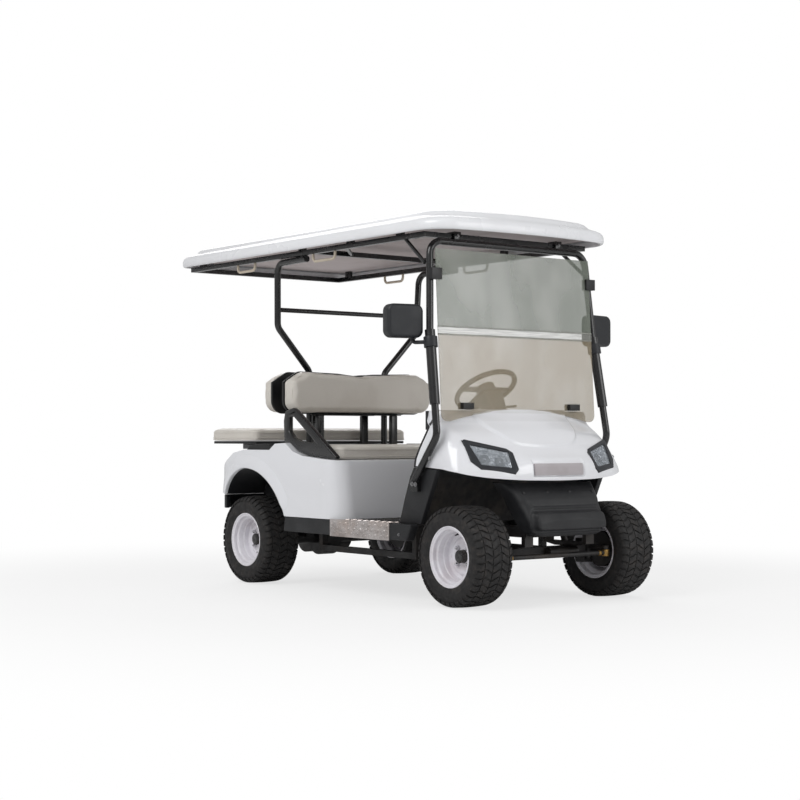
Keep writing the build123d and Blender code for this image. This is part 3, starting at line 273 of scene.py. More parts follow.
class Nodes:  # a tree and the one method that adds nodes to it
    def __init__(self, tree):
        self.tree = tree

    def node(self, kind, settings=None, sockets=None, output=0):
        made = self.tree.nodes.new(kind)
        for name, value in (settings or {}).items():
            setattr(made, name, value)
        for key, value in (sockets or {}).items():
            if isinstance(value, Wire):
                self.tree.links.new(value.socket, made.inputs[key])
            else:
                made.inputs[key].default_value = value
        return Wire(self, made.outputs[output])

    def finishWith(self, outputName, share, shader, other):  # the tree's result: two shaders, mixed by a share
        mix = self.node("ShaderNodeMixShader", None, {0: share, 1: Wire(self, shader.outputs[0]), 2: other})
        self.tree.links.new(mix.socket, self.tree.nodes[outputName].inputs["Surface"])


coatPattern = dict(clouds=(0.42, 0.72), specks=(0.55, 0.8), gloss=(0.3, 0.7), glossScale=1.7, dusty=0.15,
                   fineScale=1.9, fineShare=0.4)


class Finish(Nodes):  # one material and the patterns that it is made of
    def __init__(self, name, constants=None):
        self.material = bpy.data.materials.new(name)
        self.material.use_nodes = True
        super().__init__(self.material.node_tree)
        self.shader = self.tree.nodes["Principled BSDF"]
        for socket, value in (constants or {}).items():
            self.shader.inputs[socket].default_value = value

    def feed(self, socket, wire):
        self.tree.links.new(wire.socket, self.shader.inputs[socket])

    def place(self, scale=(1, 1, 1)):
        here = self.node("ShaderNodeTexCoord", output="Object")
        if scale == (1, 1, 1):
            return here
        return self.node("ShaderNodeMapping", None, {"Vector": here, "Scale": scale})

    def axis(self, name):
        return self.node("ShaderNodeSeparateXYZ", None, {0: self.place()}, name)

    def noise(self, scale, detail=3.0, roughness=0.55, stretch=(1, 1, 1)):
        return self.node("ShaderNodeTexNoise", None, {
            "Vector": self.place(stretch), "Scale": scale, "Detail": detail, "Roughness": roughness})

    def cells(self, scale, feature="F1", output=0):
        sockets = {"Vector": self.place(), "Scale": scale}
        return self.node("ShaderNodeTexVoronoi", {"feature": feature}, sockets, output)

    def ease(self, wire, low, high, toLow=0.0, toHigh=1.0):
        return self.node("ShaderNodeMapRange", {"interpolation_type": "SMOOTHSTEP"},
                         {0: wire, 1: low, 2: high, 3: toLow, 4: toHigh})

    def mixed(self, share, first, second):
        return self.node("ShaderNodeMix", {"data_type": "RGBA"}, {0: share, 6: first, 7: second}, 2)

    def gloss(self, scale, least, most):  # a roughness that wanders between two values
        self.feed("Roughness", self.ease(self.noise(scale), *coatPattern["gloss"], least, most))

    def bump(self, height, distance, strength):
        self.feed("Normal", self.node("ShaderNodeBump", None, {
            "Height": height, "Distance": distance, "Strength": strength}))


def coated(name, look):  # paint or moulded plastic: clouds of a second colour, grain, uneven gloss
    pattern = coatPattern
    finish = Finish(name, look.get("constants"))
    clouds = finish.ease(finish.noise(look["cloudScale"], 5.0), *pattern["clouds"], 0.0, look["cloudShare"])
    colour = finish.mixed(clouds, look["colour"], look["dust"])
    if "speck" in look:
        noise = finish.noise(look["speckScale"], 2.0)
        specks = finish.ease(noise, *pattern["specks"], 0.0, look["speckShare"])
        colour = finish.mixed(specks, colour, look["speck"])
    finish.feed("Base Color", colour)
    uneven = finish.noise(look["cloudScale"] * pattern["glossScale"], 4.0)
    gloss = finish.ease(uneven, *pattern["gloss"], *look["roughness"])
    finish.feed("Roughness", gloss + clouds * pattern["dusty"])
    if look.get("grain") == "cells":
        fine = finish.noise(look["grainScale"] * pattern["fineScale"], 2.0)
        grain = finish.cells(look["grainScale"], "SMOOTH_F1") + fine * pattern["fineShare"]
    else:
        grain = finish.noise(look["grainScale"], 2.0)
    finish.bump(grain, look["grainHeight"], look.get("grainStrength", 0.5))
    return finish.material


paints = {
    "bodyWhite": dict(colour=tone(236, 237, 241), dust=tone(222, 221, 223), cloudScale=1.4, cloudShare=0.25,
                      roughness=(0.16, 0.26), grainScale=260, grainHeight=0.0002, grainStrength=0.12,
                      constants={"Coat Weight": 0.6, "Coat Roughness": 0.08}),
    "roofWhite": dict(colour=tone(238, 239, 242), dust=tone(216, 216, 219), cloudScale=1.6, cloudShare=0.4,
                      roughness=(0.25, 0.38), grainScale=220, grainHeight=0.0003, grainStrength=0.15,
                      constants={"Coat Weight": 0.3, "Coat Roughness": 0.15}),
    "wheelWhite": dict(colour=tone(232, 230, 236), dust=tone(190, 178, 182), cloudScale=9, cloudShare=0.45,
                       speckScale=420, speckShare=0.12, speck=tone(120, 105, 100), roughness=(0.22, 0.36),
                       grainScale=300, grainHeight=0.0002, grainStrength=0.2, constants={"Coat Weight": 0.3}),
    "frameBlack": dict(colour=tone(15, 15, 17), dust=tone(40, 39, 39), cloudScale=6, cloudShare=0.25,
                       roughness=(0.2, 0.34), grainScale=500, grainHeight=0.0002, grainStrength=0.2,
                       constants={"Coat Weight": 0.4, "Coat Roughness": 0.15}),
    "chassisBlack": dict(colour=tone(20, 19, 20), dust=tone(72, 63, 55), cloudScale=7, cloudShare=0.5,
                         speckScale=300, speckShare=0.3, speck=tone(104, 90, 76), roughness=(0.4, 0.62),
                         grainScale=350, grainHeight=0.0004),
    "grainedBlack": dict(colour=tone(24, 25, 28), dust=tone(46, 45, 46), cloudScale=5, cloudShare=0.3,
                         roughness=(0.48, 0.62), grain="cells", grainScale=520, grainHeight=0.0004,
                         grainStrength=0.7),
    "trimBlack": dict(colour=tone(20, 20, 22), dust=tone(44, 43, 42), cloudScale=6, cloudShare=0.3,
                      roughness=(0.38, 0.52), grain="cells", grainScale=700, grainHeight=0.00025,
                      grainStrength=0.5),
    "mirrorBlack": dict(colour=tone(30, 32, 36), dust=tone(46, 47, 50), cloudScale=8, cloudShare=0.3,
                        roughness=(0.42, 0.54), grain="cells", grainScale=800, grainHeight=0.0002,
                        grainStrength=0.5),
    "softBlack": dict(colour=tone(22, 22, 25), dust=tone(42, 42, 44), cloudScale=14, cloudShare=0.3,
                      roughness=(0.4, 0.55), grain="cells", grainScale=900, grainHeight=0.0003,
                      grainStrength=0.6),
    "bezelGrey": dict(colour=tone(36, 38, 43), dust=tone(52, 53, 56), cloudScale=9, cloudShare=0.3,
                      roughness=(0.36, 0.48), grain="cells", grainScale=800, grainHeight=0.0002,
                      grainStrength=0.4),
    "plateGrey": dict(colour=tone(176, 170, 173), dust=tone(160, 152, 154), cloudScale=14, cloudShare=0.4,
                      roughness=(0.4, 0.5), grainScale=300, grainHeight=0.0002),
    "handleBeige": dict(colour=tone(208, 196, 178), dust=tone(180, 166, 148), cloudScale=18, cloudShare=0.4,
                        roughness=(0.35, 0.5), grainScale=400, grainHeight=0.0002),
    "batteryBlack": dict(colour=tone(42, 42, 46), dust=tone(80, 78, 76), cloudScale=8, cloudShare=0.35,
                         roughness=(0.5, 0.65), grainScale=300, grainHeight=0.0004),
    # the darker mauve grey of the roof's underside is painted shade; its clouds and specks are dust
    "roofUnderShaded": dict(colour=tone(188, 178, 178), dust=tone(160, 148, 147), cloudScale=3.5, cloudShare=0.45,
                      speckScale=700, speckShare=0.25, speck=tone(150, 138, 138), roughness=(0.6, 0.75),
                      grainScale=500, grainHeight=0.0006, grainStrength=0.4),
    "lampRed": dict(colour=tone(150, 16, 18), dust=tone(120, 12, 14), cloudScale=20, cloudShare=0.3,
                    roughness=(0.15, 0.25), grain="cells", grainScale=160, grainHeight=0.0008,
                    constants={"Coat Weight": 0.7}),
    "chrome": dict(colour=tone(205, 205, 208), dust=tone(160, 158, 156), cloudScale=40, cloudShare=0.4,
                   roughness=(0.12, 0.26), grainScale=500, grainHeight=0.0001, constants={"Metallic": 1.0}),
    "brass": dict(colour=tone(176, 142, 84), dust=tone(110, 86, 56), cloudScale=60, cloudShare=0.5,
                  roughness=(0.3, 0.45), grainScale=500, grainHeight=0.0002, constants={"Metallic": 1.0}),
    "steel": dict(colour=tone(150, 150, 152), dust=tone(110, 106, 102), cloudScale=50, cloudShare=0.5,
                  roughness=(0.3, 0.45), grainScale=500, grainHeight=0.0002, constants={"Metallic": 1.0}),
    "mirrorGlass": dict(colour=tone(206, 210, 214), dust=tone(196, 200, 204), cloudScale=6, cloudShare=0.2,
                        roughness=(0.03, 0.06), grainScale=60, grainHeight=0.0001, grainStrength=0.05,
                        constants={"Metallic": 1.0}),
}
finishes = {name: coated(name, look) for name, look in paints.items()}


def tyreFinish():
    look = dict(rubber=tone(32, 32, 33), dusty=tone(74, 68, 64))
    finish = Finish("tyreRubber", {"Specular IOR Level": 0.35})
    dust = finish.ease(finish.noise(26, 6.0, 0.7), 0.45, 0.75, 0.0, 0.5)
    fine = finish.ease(finish.noise(700, 2.0), 0.4, 0.75, 0.0, 0.25)
    finish.feed("Base Color", finish.mixed(dust + fine, look["rubber"], look["dusty"]))
    finish.gloss(40, 0.55, 0.8)
    finish.bump(finish.noise(420, 3.0), 0.0006, 0.5)
    return finish.material


def vinylFinish():
    look = dict(hide=tone(222, 217, 209), worn=tone(205, 198, 189), crease=tone(184, 177, 168))
    finish = Finish("seatVinyl", {"Specular IOR Level": 0.5, "Coat Roughness": 0.3, "Coat Weight": 0.15})
    patches = finish.ease(finish.noise(4.5, 4.0), 0.4, 0.7, 0.0, 0.55)
    # the crease colour along the grain's cell edges is painted shade in the creases of the grain
    pores = finish.cells(520, "DISTANCE_TO_EDGE")
    creaseShade = finish.ease(pores, 0.0, 0.12, 0.35, 0.0)
    colour = finish.mixed(patches, look["hide"], look["worn"])
    finish.feed("Base Color", finish.mixed(creaseShade, colour, look["crease"]))
    finish.gloss(11, 0.34, 0.5)
    finish.bump(finish.ease(pores, 0.0, 0.25) + finish.noise(260, 2.0) * 0.5, 0.00035, 0.6)
    return finish.material


def paneFinish():
    look = dict(lower=tone(162, 149, 125), upper=tone(126, 133, 122), haze=tone(206, 206, 200),
                split=(1.235, 1.275), lowerAlpha=0.50, upperAlpha=0.60)
    finish = Finish("clearSheet", {"Specular IOR Level": 0.35, "IOR": 1.49})
    height = finish.axis("Z")
    above = finish.ease(height, *look["split"])
    blur = finish.ease(finish.noise(3.2, 2.0, stretch=(1, 1.2, 0.7)), 0.35, 0.7, 0.0, 0.28)
    scratches = finish.ease(finish.noise(60, 4.0, 0.7, (1, 7, 0.5)), 0.62, 0.8, 0.0, 0.35)
    colour = finish.mixed(above, look["lower"], look["upper"])
    colour = finish.mixed(blur, colour, look["haze"])
    finish.feed("Base Color", finish.mixed(scratches, colour, look["haze"]))
    finish.feed("Alpha", above * (look["upperAlpha"] - look["lowerAlpha"]) + look["lowerAlpha"] - blur * 0.1)
    finish.gloss(20, 0.05, 0.16)
    return finish.material


def stripFinish():
    look = dict(clear=tone(186, 187, 180), streak=tone(140, 142, 136), alpha=0.28)
    finish = Finish("hingeStrip", {"IOR": 1.49})
    streaks = finish.ease(finish.noise(30, 3.0, 0.6, (1, 0.3, 6)), 0.4, 0.7, 0.0, 0.6)
    finish.feed("Base Color", finish.mixed(streaks, look["clear"], look["streak"]))
    finish.feed("Alpha", look["alpha"] + streaks * 0.25)
    finish.feed("Roughness", finish.noise(80) * 0.2 + 0.08)
    return finish.material


def lensFinish():
    look = dict(bright=tone(214, 220, 226), shade=tone(170, 178, 186), alpha=0.22)
    finish = Finish("lampLens", {"IOR": 1.5})
    finish.feed("Base Color", finish.mixed(finish.noise(14, 2.0), look["bright"], look["shade"]))
    finish.feed("Alpha", look["alpha"] + finish.ease(finish.noise(60), 0.4, 0.8, 0.0, 0.12))
    finish.feed("Roughness", finish.noise(50) * 0.08 + 0.03)
    return finish.material


def reflectorFinish():
    look = dict(dark=tone(108, 112, 120), bright=tone(226, 230, 236), facets=150.0)
    finish = Finish("lampReflector", {"Metallic": 0.9})
    # each facet's tone is set at random between the dark and the bright colour: painted reflections on the
    # chrome facets
    share = finish.node("ShaderNodeSeparateColor", None, {0: finish.cells(look["facets"], output="Color")}, 0)
    finish.feed("Base Color", finish.mixed(share, look["dark"], look["bright"]))
    finish.feed("Roughness", finish.noise(300) * 0.15 + 0.08)
    finish.bump(finish.cells(170), 0.002, 0.5)
    return finish.material


def matFinish():
    look = dict(rubber=tone(46, 46, 47), dust=tone(96, 88, 80))
    finish = Finish("matRubber")
    dust = finish.ease(finish.noise(9, 6.0, 0.65), 0.4, 0.72, 0.0, 0.55)
    finish.feed("Base Color", finish.mixed(dust, look["rubber"], look["dust"]))
    finish.gloss(30, 0.6, 0.8)
    finish.bump(finish.noise(320, 3.0), 0.0006, 0.5)
    return finish.material


def plateFinish():
    look = dict(metal=tone(206, 200, 198), warm=tone(196, 176, 164), smear=tone(150, 142, 138))
    finish = Finish("treadAluminium", {"Metallic": 1.0})
    smears = finish.ease(finish.noise(18, 5.0, 0.65, (0.6, 1, 1)), 0.4, 0.7, 0.0, 0.6)
    warm = finish.ease(finish.noise(6, 3.0), 0.4, 0.65, 0.0, 0.5)
    colour = finish.mixed(warm, look["metal"], look["warm"])
    finish.feed("Base Color", finish.mixed(smears, colour, look["smear"]))
    finish.gloss(35, 0.28, 0.5)
    finish.bump(finish.noise(500, 2.0, 0.5, (0.2, 1, 1)), 0.0003, 0.4)
    return finish.material


finishes.update(
    tyreRubber=tyreFinish(), seatVinyl=vinylFinish(), clearSheet=paneFinish(), hingeStrip=stripFinish(),
    lampLens=lensFinish(), lampReflector=reflectorFinish(), matRubber=matFinish(),
    treadAluminium=plateFinish())

nodeFinishes = {
    "frameBlack": ["front_strut", "rear_struts", "roof_frame", "seat_posts", "seat_hinges", "hip_restraints"],
    "chassisBlack": ["chassis_frame", "front_axle", "rear_axle", "knuckle_right", "knuckle_left", "tie_rod",
                     "springs_and_dampers", "hub_front_left", "hub_front_right", "hub_rear_left",
                     "hub_rear_right"],
    "bodyWhite": ["rear_body", "front_cowl"],
    "roofWhite": ["roof_panel"],
    "roofUnderShaded": ["roof_lining"],
    "grainedBlack": ["front_bumper", "rear_bumper", "front_valances", "sills", "wheel_liners"],
    "trimBlack": ["dashboard", "backrest_shells", "rear_trays", "pedals", "windshield_fittings",
                  "seat_pan_front", "seat_pan_rear", "steering_column"],
    "mirrorBlack": ["mirrors"],
    "softBlack": ["steering_wheel"],
    "bezelGrey": ["headlamp_bezels"],
    "lampLens": ["headlamp_lenses"],
    "lampRed": ["tail_lamps"],
    "handleBeige": ["grab_handles"],
    "batteryBlack": ["battery_pack"],
    "matRubber": ["floor_pan"],
    "treadAluminium": ["tread_plates"],
    "clearSheet": ["windshield_lower", "windshield_upper"],
    "hingeStrip": ["windshield_hinge"],
    "wheelWhite": ["rim_front_left", "rim_front_right", "rim_rear_left", "rim_rear_right"],
    "tyreRubber": ["tyre_front_left", "tyre_front_right", "tyre_rear_left", "tyre_rear_right"],
    "seatVinyl": ["seat_cushion_front", "seat_cushion_rear", "backrest_front", "backrest_rear"],
}
for finish, nodes in nodeFinishes.items():
    for node in nodes:
        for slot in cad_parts[node].material_slots:
            slot.material = finishes[finish]
print("finishes made:", len(finishes))


cameraSetup = dict(place=(6.8175, -5.227, 0.765), yaw=142.56, pitch=1.286, lens=74.62, sensor=36.0)


def addCamera():
    yaw, pitch = (math.radians(cameraSetup[key]) for key in ("yaw", "pitch"))
    ahead = Vector((math.cos(yaw) * math.cos(pitch), math.sin(yaw) * math.cos(pitch), math.sin(pitch)))
    data = bpy.data.cameras.new("viewCamera")
    data.lens, data.sensor_width, data.sensor_fit = cameraSetup["lens"], cameraSetup["sensor"], "HORIZONTAL"
    camera = bpy.data.objects.new("viewCamera", data)
    bpy.context.scene.collection.objects.link(camera)
    camera.location = cameraSetup["place"]
    camera.rotation_euler = ahead.to_track_quat("-Z", "Y").to_euler()
    bpy.context.scene.camera = camera


stageSetup = dict(size=60.0, floor=(tone(240, 240, 240), tone(236, 236, 236)), glow=0.70, sky=0.46,
                  white=(1.6, 4.2))


def addStage():  # a floor that keeps the shadow and turns white away from the cart
    clearSelection()
    bpy.ops.mesh.primitive_plane_add(size=stageSetup["size"], location=(0, 0, 0))
    floor = settle(named("studio_floor"))
    finish = Finish("studioFloor", {"Roughness": 0.9, "Specular IOR Level": 0.1})
    finish.feed("Base Color", finish.mixed(finish.noise(1.5), *stageSetup["floor"]))
    away = finish.node("ShaderNodeVectorMath", {"operation": "LENGTH"}, {0: finish.place()}, "Value")
    share = finish.ease(away, *stageSetup["white"], stageSetup["glow"], 1.0)
    share = share * finish.node("ShaderNodeLightPath", output="Is Camera Ray")
    glow = finish.node("ShaderNodeEmission", None, {"Color": (1, 1, 1, 1), "Strength": 1.0})
    finish.finishWith("Material Output", share, finish.shader, glow)
    floor.data.materials.append(finish.material)


def addSky():  # plain light on the cart, white behind it
    world = bpy.data.worlds.new("studioSky")
    bpy.context.scene.world = world
    world.use_nodes = True
    sky = Nodes(world.node_tree)
    plain = sky.tree.nodes["Background"]
    plain.inputs["Color"].default_value = (1, 1, 1, 1)
    plain.inputs["Strength"].default_value = stageSetup["sky"]
    share = sky.node("ShaderNodeLightPath", output="Is Camera Ray")
    white = sky.node("ShaderNodeBackground", None, {"Color": (1, 1, 1, 1), "Strength": 1.0})
    sky.finishWith("World Output", share, plain, white)


studioLamps = {  # place, target, size, watts
    "key": ((1.5, -6.0, 6.0), (0, 0, 0.8), 4.0, 240),
    "fill": ((6.5, 2.5, 3.0), (0.3, 0, 0.8), 4.0, 125),
    "back": ((-5.0, 3.0, 4.5), (0, 0, 1.0), 4.0, 110),
}


def addLamps():
    for name, (place, target, size, watts) in studioLamps.items():
        data = bpy.data.lights.new(name + "Lamp", "AREA")
        data.size, data.energy = size, watts
        lamp = bpy.data.objects.new(name + "Lamp", data)
        bpy.context.scene.collection.objects.link(lamp)
        lamp.location = place
        lamp.rotation_euler = (Vector(target) - Vector(place)).to_track_quat("-Z", "Y").to_euler()


bpy.context.scene.view_settings.view_transform = "Standard"
addCamera()
addStage()
addSky()
addLamps()
print("camera, floor and light placed")

tyreShape = dict(
    carcass=[(0.086, 0.1275), (0.0915, 0.1385), (0.0985, 0.152), (0.1012, 0.164), (0.1018, 0.1695),
             (0.1022, 0.171), (0.1018, 0.1725), (0.1015, 0.184), (0.0995, 0.1935), (0.0965, 0.2024),
             (0.0945, 0.209), (0.0865, 0.2167), (0.075, 0.2200), (0.038, 0.2219), (0, 0.2225)],
    inside=[(-0.076, 0.128), (-0.088, 0.165), (-0.074, 0.205), (0, 0.209), (0.074, 0.205), (0.088, 0.165),
            (0.076, 0.128)],
    pitches=40, blockDepth=0.006, blockBevel=0.0009, ribWidth=0.0268,
    wave=0.0090, waveLength=0.084, waveFade=(0.07, 0.1),
    crown=0.2225, crownHalf=0.075, crownDrop=0.0025, shoulder=0.022, lean=0.05, rolling=0.2285,
    columns=[(-0.105, -0.0715), (-0.068, -0.0262), (-0.0228, 0.0228), (0.0262, 0.068), (0.0715, 0.105)],
    cells=6)


def treadPoint(s, c, height):  # a point on the tread: s across, c round, height above the carcass
    shape = tyreShape
    side = math.copysign(1, s)
    past = max(0.0, abs(s) - shape["crownHalf"])
    turn = past / shape["shoulder"]
    flat = min(abs(s), shape["crownHalf"])
    y = side * (flat + (shape["shoulder"] + height) * math.sin(turn))
    radius = shape["crown"] - shape["crownDrop"] * (flat / shape["crownHalf"]) ** 2
    radius += height * math.cos(turn) - shape["shoulder"] * (1 - math.cos(turn))
    wave = shape["wave"] * (1 - between(*shape["waveFade"], abs(s)))
    angle = c + wave * math.sin(2 * math.pi * s / shape["waveLength"]) + shape["lean"] * side * past
    angle /= shape["rolling"]
    return Vector((radius * math.sin(angle), y, radius * math.cos(angle)))


def makeTyre():
    shape = tyreShape
    right = shape["carcass"]
    profile = [(-y, r) for y, r in right] + [(y, r) for y, r in reversed(right[:-1])]
    carcass = turned("tyreCarcass", profile + shape["inside"][::-1] + profile[:1], 96)
    parts = []
    for low, high in shape["columns"]:  # one wavy cross rib of blocks
        part = sheet("treadBlock", shape["cells"], 2, 1)
        editAll(part)
        bpy.ops.transform.resize(value=(high - low, shape["ribWidth"], 1))
        bpy.ops.transform.translate(value=((low + high) / 2, 0, 0))
        bpy.ops.mesh.extrude_region_move(TRANSFORM_OT_translate={"value": (0, 0, shape["blockDepth"])})
        leaveEdit()
        parts.append(withModifier(part, "BEVEL", width=shape["blockBevel"], segments=1, limit_method="ANGLE",
                                  angle_limit=math.radians(60)))
    rib = joined("treadRib", parts)
    for vertex in rib.data.vertices:
        vertex.co = treadPoint(*vertex.co)
    ribs = [rib]
    for i in range(1, shape["pitches"]):
        ribs.append(twin(rib, "treadRib_%d" % i, Matrix.Rotation(2 * math.pi * i / shape["pitches"], 4, "Y")))
    return smooth(joined("tyreMaster", [carcass] + ribs), 32)


rimShape = dict(
    barrel=[(0.0905, 0.1383), (0.0918, 0.1372), (0.0912, 0.1345), (0.0885, 0.1325), (0.0868, 0.1268),
            (0.0845, 0.1238), (0.070, 0.1222), (0.0665, 0.1195), (0.0635, 0.1138), (0.060, 0.1120),
            (0.040, 0.1112), (0.036, 0.1098), (0.0335, 0.1068), (0.030, 0.1058), (0.012, 0.1052),
            (-0.050, 0.1062), (-0.058, 0.112), (-0.064, 0.1205), (-0.084, 0.1235), (-0.0868, 0.1268),
            (-0.0885, 0.1325), (-0.0912, 0.1345), (-0.0905, 0.1383)],
    disc=[(0.012, 0.1052), (0.0075, 0.1035), (0.0035, 0.098), (0.002, 0.090), (0.0045, 0.083),
          (0.0085, 0.079), (0.0092, 0.072), (0.0065, 0.066), (0.0045, 0.062), (0.0045, 0.036),
          (0.0065, 0.0335), (0.0065, 0.031)],
    cap=[(0.004, 0.0305), (0.010, 0.0305), (0.0125, 0.029), (0.030, 0.0275), (0.0355, 0.0245),
         (0.0375, 0.019), (0.0375, 0.010), (0.0365, 0.0001)],
    # nut and valve parts: from, to, radius, sides, bevel, far radius
    nut=[("nutWasher", 0.0055, 0.0095, 0.0125, 24, 0.0008, 0.0105),
         ("nutHex", 0.009, 0.021, 0.0098, 6, 0.0009, 0.0098),
         ("nutTip", 0.0205, 0.0275, 0.0078, 20, 0.0018, 0.0048)],
    valve=[("valveRubber", (0.1095, 0.045), (0.100, 0.066), 0.0052, 14, 0.001, 0.0038),
           ("valveStem", (0.1002, 0.0655), (0.0975, 0.0715), 0.0030, 12, 0.0005, 0.0030)],
    wall=0.0032, lugs=4, lugCircle=0.0508, lugStart=45, valveAngle=140, valveTurn={"front": 60, "rear": 180})


def makeRim():
    barrel = turned("rimBarrel", rimShape["barrel"], 96, rimShape["wall"])
    disc = turned("rimDisc", rimShape["disc"], 96, rimShape["wall"])
    return smooth(joined("rimMaster", [barrel, disc]), 50)


def makeNuts():
    parts = []
    for i in range(rimShape["lugs"]):
        angle = math.radians(rimShape["lugStart"] + 360 * i / rimShape["lugs"])
        x, z = rimShape["lugCircle"] * math.cos(angle), rimShape["lugCircle"] * math.sin(angle)
        for name, start, end, *form in rimShape["nut"]:
            parts.append(rod(name, (x, start, z), (x, end, z), *form))
    return joined("nutsMaster", parts)


def makeCap():
    return smooth(turned("capMaster", rimShape["cap"], 48), 40)


def makeValve():
    angle = math.radians(rimShape["valveAngle"])
    x, z = math.cos(angle), math.sin(angle)
    parts = [rod(name, (x * near, y, z * near), (x * far, farY, z * far), *form)
             for name, (near, y), (far, farY), *form in rimShape["valve"]]
    return joined("valveMaster", parts)


wheelHeight = 0.2285
wheelPlaces = {"front_right": (1.0525, -0.445), "front_left": (1.0525, 0.445),
               "rear_right": (-0.5975, -0.478), "rear_left": (-0.5975, 0.478)}


def addWheels():
    masters = {
        "tyre": (makeTyre(), "tyreRubber", "tyre_rubber"), "rim": (makeRim(), "wheelWhite", "wheel_paint"),
        "nuts": (makeNuts(), "chrome", "hub_metal"), "cap": (makeCap(), "frameBlack", "hub_metal"),
        "valve": (makeValve(), "softBlack", "tyre_rubber")}
    for corner, (x, y) in wheelPlaces.items():
        turn = mirrorAcross if y < 0 else Matrix.Identity(4)  # parts are drawn with +Y outboard
        for part, (master, finish, slot) in masters.items():
            rolled = rimShape["valveTurn"][corner.split("_")[0]] if part == "valve" else 0
            spin = Matrix.Rotation(math.radians(rolled), 4, "Y")
            place = Matrix.Translation((x, y, wheelHeight)) @ turn @ spin
            piece = twin(master, "%s_%s_visual" % (part, corner), place)
            replaced = ["%s_%s" % (part, corner)] if part in ("tyre", "rim") else []
            keep(piece, finish, slot, *replaced, body="wheel_" + corner)
    for master, finish, slot in masters.values():
        bpy.data.objects.remove(master)


addWheels()
print("wheels made")


padSetup = dict(voxel=0.010, shrink=0.003, relax=3, quality=5, mass=0.3, stiffness=12, pressure=4.0, frames=20,
                seated=(0.6, 0.9), held=0.9,  # the side that rests flat, and how much it is kept from swelling
                proud=(0.002, 0.002, 0.006))  # how far foam may stand out of the solid in x, y and z
weltShape = dict(radius=0.0024, rise=0.25, corner=0.05, step=0.03, cushion=(0.018, 0.016),
                 backrest=[(0.012, 0.016), (0.004, 0.064)])  # backrest: inset and depth of each seam
backrestFace = dict(half=0.466, low=0.886, high=1.114, outline=[
    (0.0, 0.0), (0.5, 0.0), (0.86, 0.0), (0.97, 0.1), (1.0, 0.3), (1.0, 0.62), (0.95, 0.82), (0.86, 0.94),
    (0.74, 0.985), (0.5, 0.975), (0.3, 0.965), (0.14, 0.93), (0.0, 0.905)])
padPieces = {  # node: how far a point may swell, body, the side that rests flat
    "seat_cushion_front": (0.010, "seat_lid", (0, 0, -1)),
    "seat_cushion_rear": (0.010, "cart_body", (0, 0, -1)),
    "backrest_front": (0.012, "cart_body", (-1, 0, 0)),
    "backrest_rear": (0.012, "cart_body", (1, 0, 0)),
}


def blowUp(pad):  # inflates the pad as a cloth that holds air
    activate(pad)
    cloth = pad.modifiers.new("Padding", "CLOTH")
    settings = cloth.settings
    settings.quality, settings.mass = padSetup["quality"], padSetup["mass"]
    settings.use_pressure = True
    settings.uniform_pressure_force = padSetup["pressure"]
    settings.effector_weights.gravity = 0.0
    settings.tension_stiffness = settings.compression_stiffness = padSetup["stiffness"]
    cloth.point_cache.frame_start, cloth.point_cache.frame_end = 1, padSetup["frames"]
    for number in range(1, padSetup["frames"] + 1):
        bpy.context.scene.frame_set(number)
    bpy.ops.object.modifier_apply(modifier=cloth.name)
    bpy.context.scene.frame_set(1)


def swollen(node, reach, flatSide):
    pad = fromNode(node + "_visual", node)
    withModifier(pad, "REMESH", mode="VOXEL", voxel_size=padSetup["voxel"], use_smooth_shade=True)
    withModifier(pad, "DISPLACE", strength=-padSetup["shrink"], mid_level=0.0, direction="NORMAL")
    withModifier(pad, "SMOOTH", factor=0.5, iterations=padSetup["relax"])
    rest = [vertex.co.copy() for vertex in pad.data.vertices]
    low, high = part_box(node)
    flatSide = Vector(flatSide)
    half = max(abs((high - low).dot(flatSide)) / 2, 0.001)
    blowUp(pad)
    for vertex, start in zip(pad.data.vertices, rest):
        move = vertex.co - start
        if move.length > reach:
            move *= reach / move.length
        under = (start - (low + high) / 2).dot(flatSide)
        move *= 1 - padSetup["held"] * between(*padSetup["seated"], under / half)
        vertex.co = start + move
        for axis, proud in enumerate(padSetup["proud"]):  # not into the neighbours
            foot = low[axis] - padSetup["proud"][0]
            vertex.co[axis] = min(max(vertex.co[axis], foot), high[axis] + proud)
    withModifier(pad, "SMOOTH", factor=0.5, iterations=2)
    withModifier(pad, "SUBSURF", levels=1, render_levels=1)
    return pad


def piping(name, pad, points):  # a welt that follows the pad's own surface
    radius = weltShape["radius"]
    curve = bpy.data.curves.new(name, "CURVE")
    curve.dimensions = "3D"
    line = curve.splines.new("NURBS")
    line.points.add(len(points) - 1)
    for target, point in zip(line.points, points):
        found, place, normal, index = pad.closest_point_on_mesh(Vector(point))
        target.co = (*(place + normal * radius * weltShape["rise"]), 1)
    line.use_cyclic_u = True
    line.order_u = 3
    line.resolution_u = 6
    curve.bevel_depth = radius
    curve.bevel_resolution = 3
    welt = bpy.data.objects.new(name, curve)
    bpy.context.scene.collection.objects.link(welt)
    activate(welt)
    bpy.ops.object.convert(target="MESH")
    return smooth(bpy.context.active_object, 60)


def roundedLoop(low, high, corner):  # points round a rectangle with arcs at its corners
    (x0, y0), (x1, y1) = low, high
    points = []
    for cx, cy, start in ((x1 - corner, y1 - corner, 0), (x0 + corner, y1 - corner, 90),
                          (x0 + corner, y0 + corner, 180), (x1 - corner, y0 + corner, 270)):
        for i in range(5):
            angle = math.radians(start + 22.5 * i)
            points.append((cx + corner * math.cos(angle), cy + corner * math.sin(angle)))
    filled = []
    for a, b in zip(points, points[1:] + points[:1]):
        count = max(1, int(math.dist(a, b) / weltShape["step"]))
        filled += [(a[0] + (b[0] - a[0]) * i / count, a[1] + (b[1] - a[1]) * i / count) for i in range(count)]
    return filled


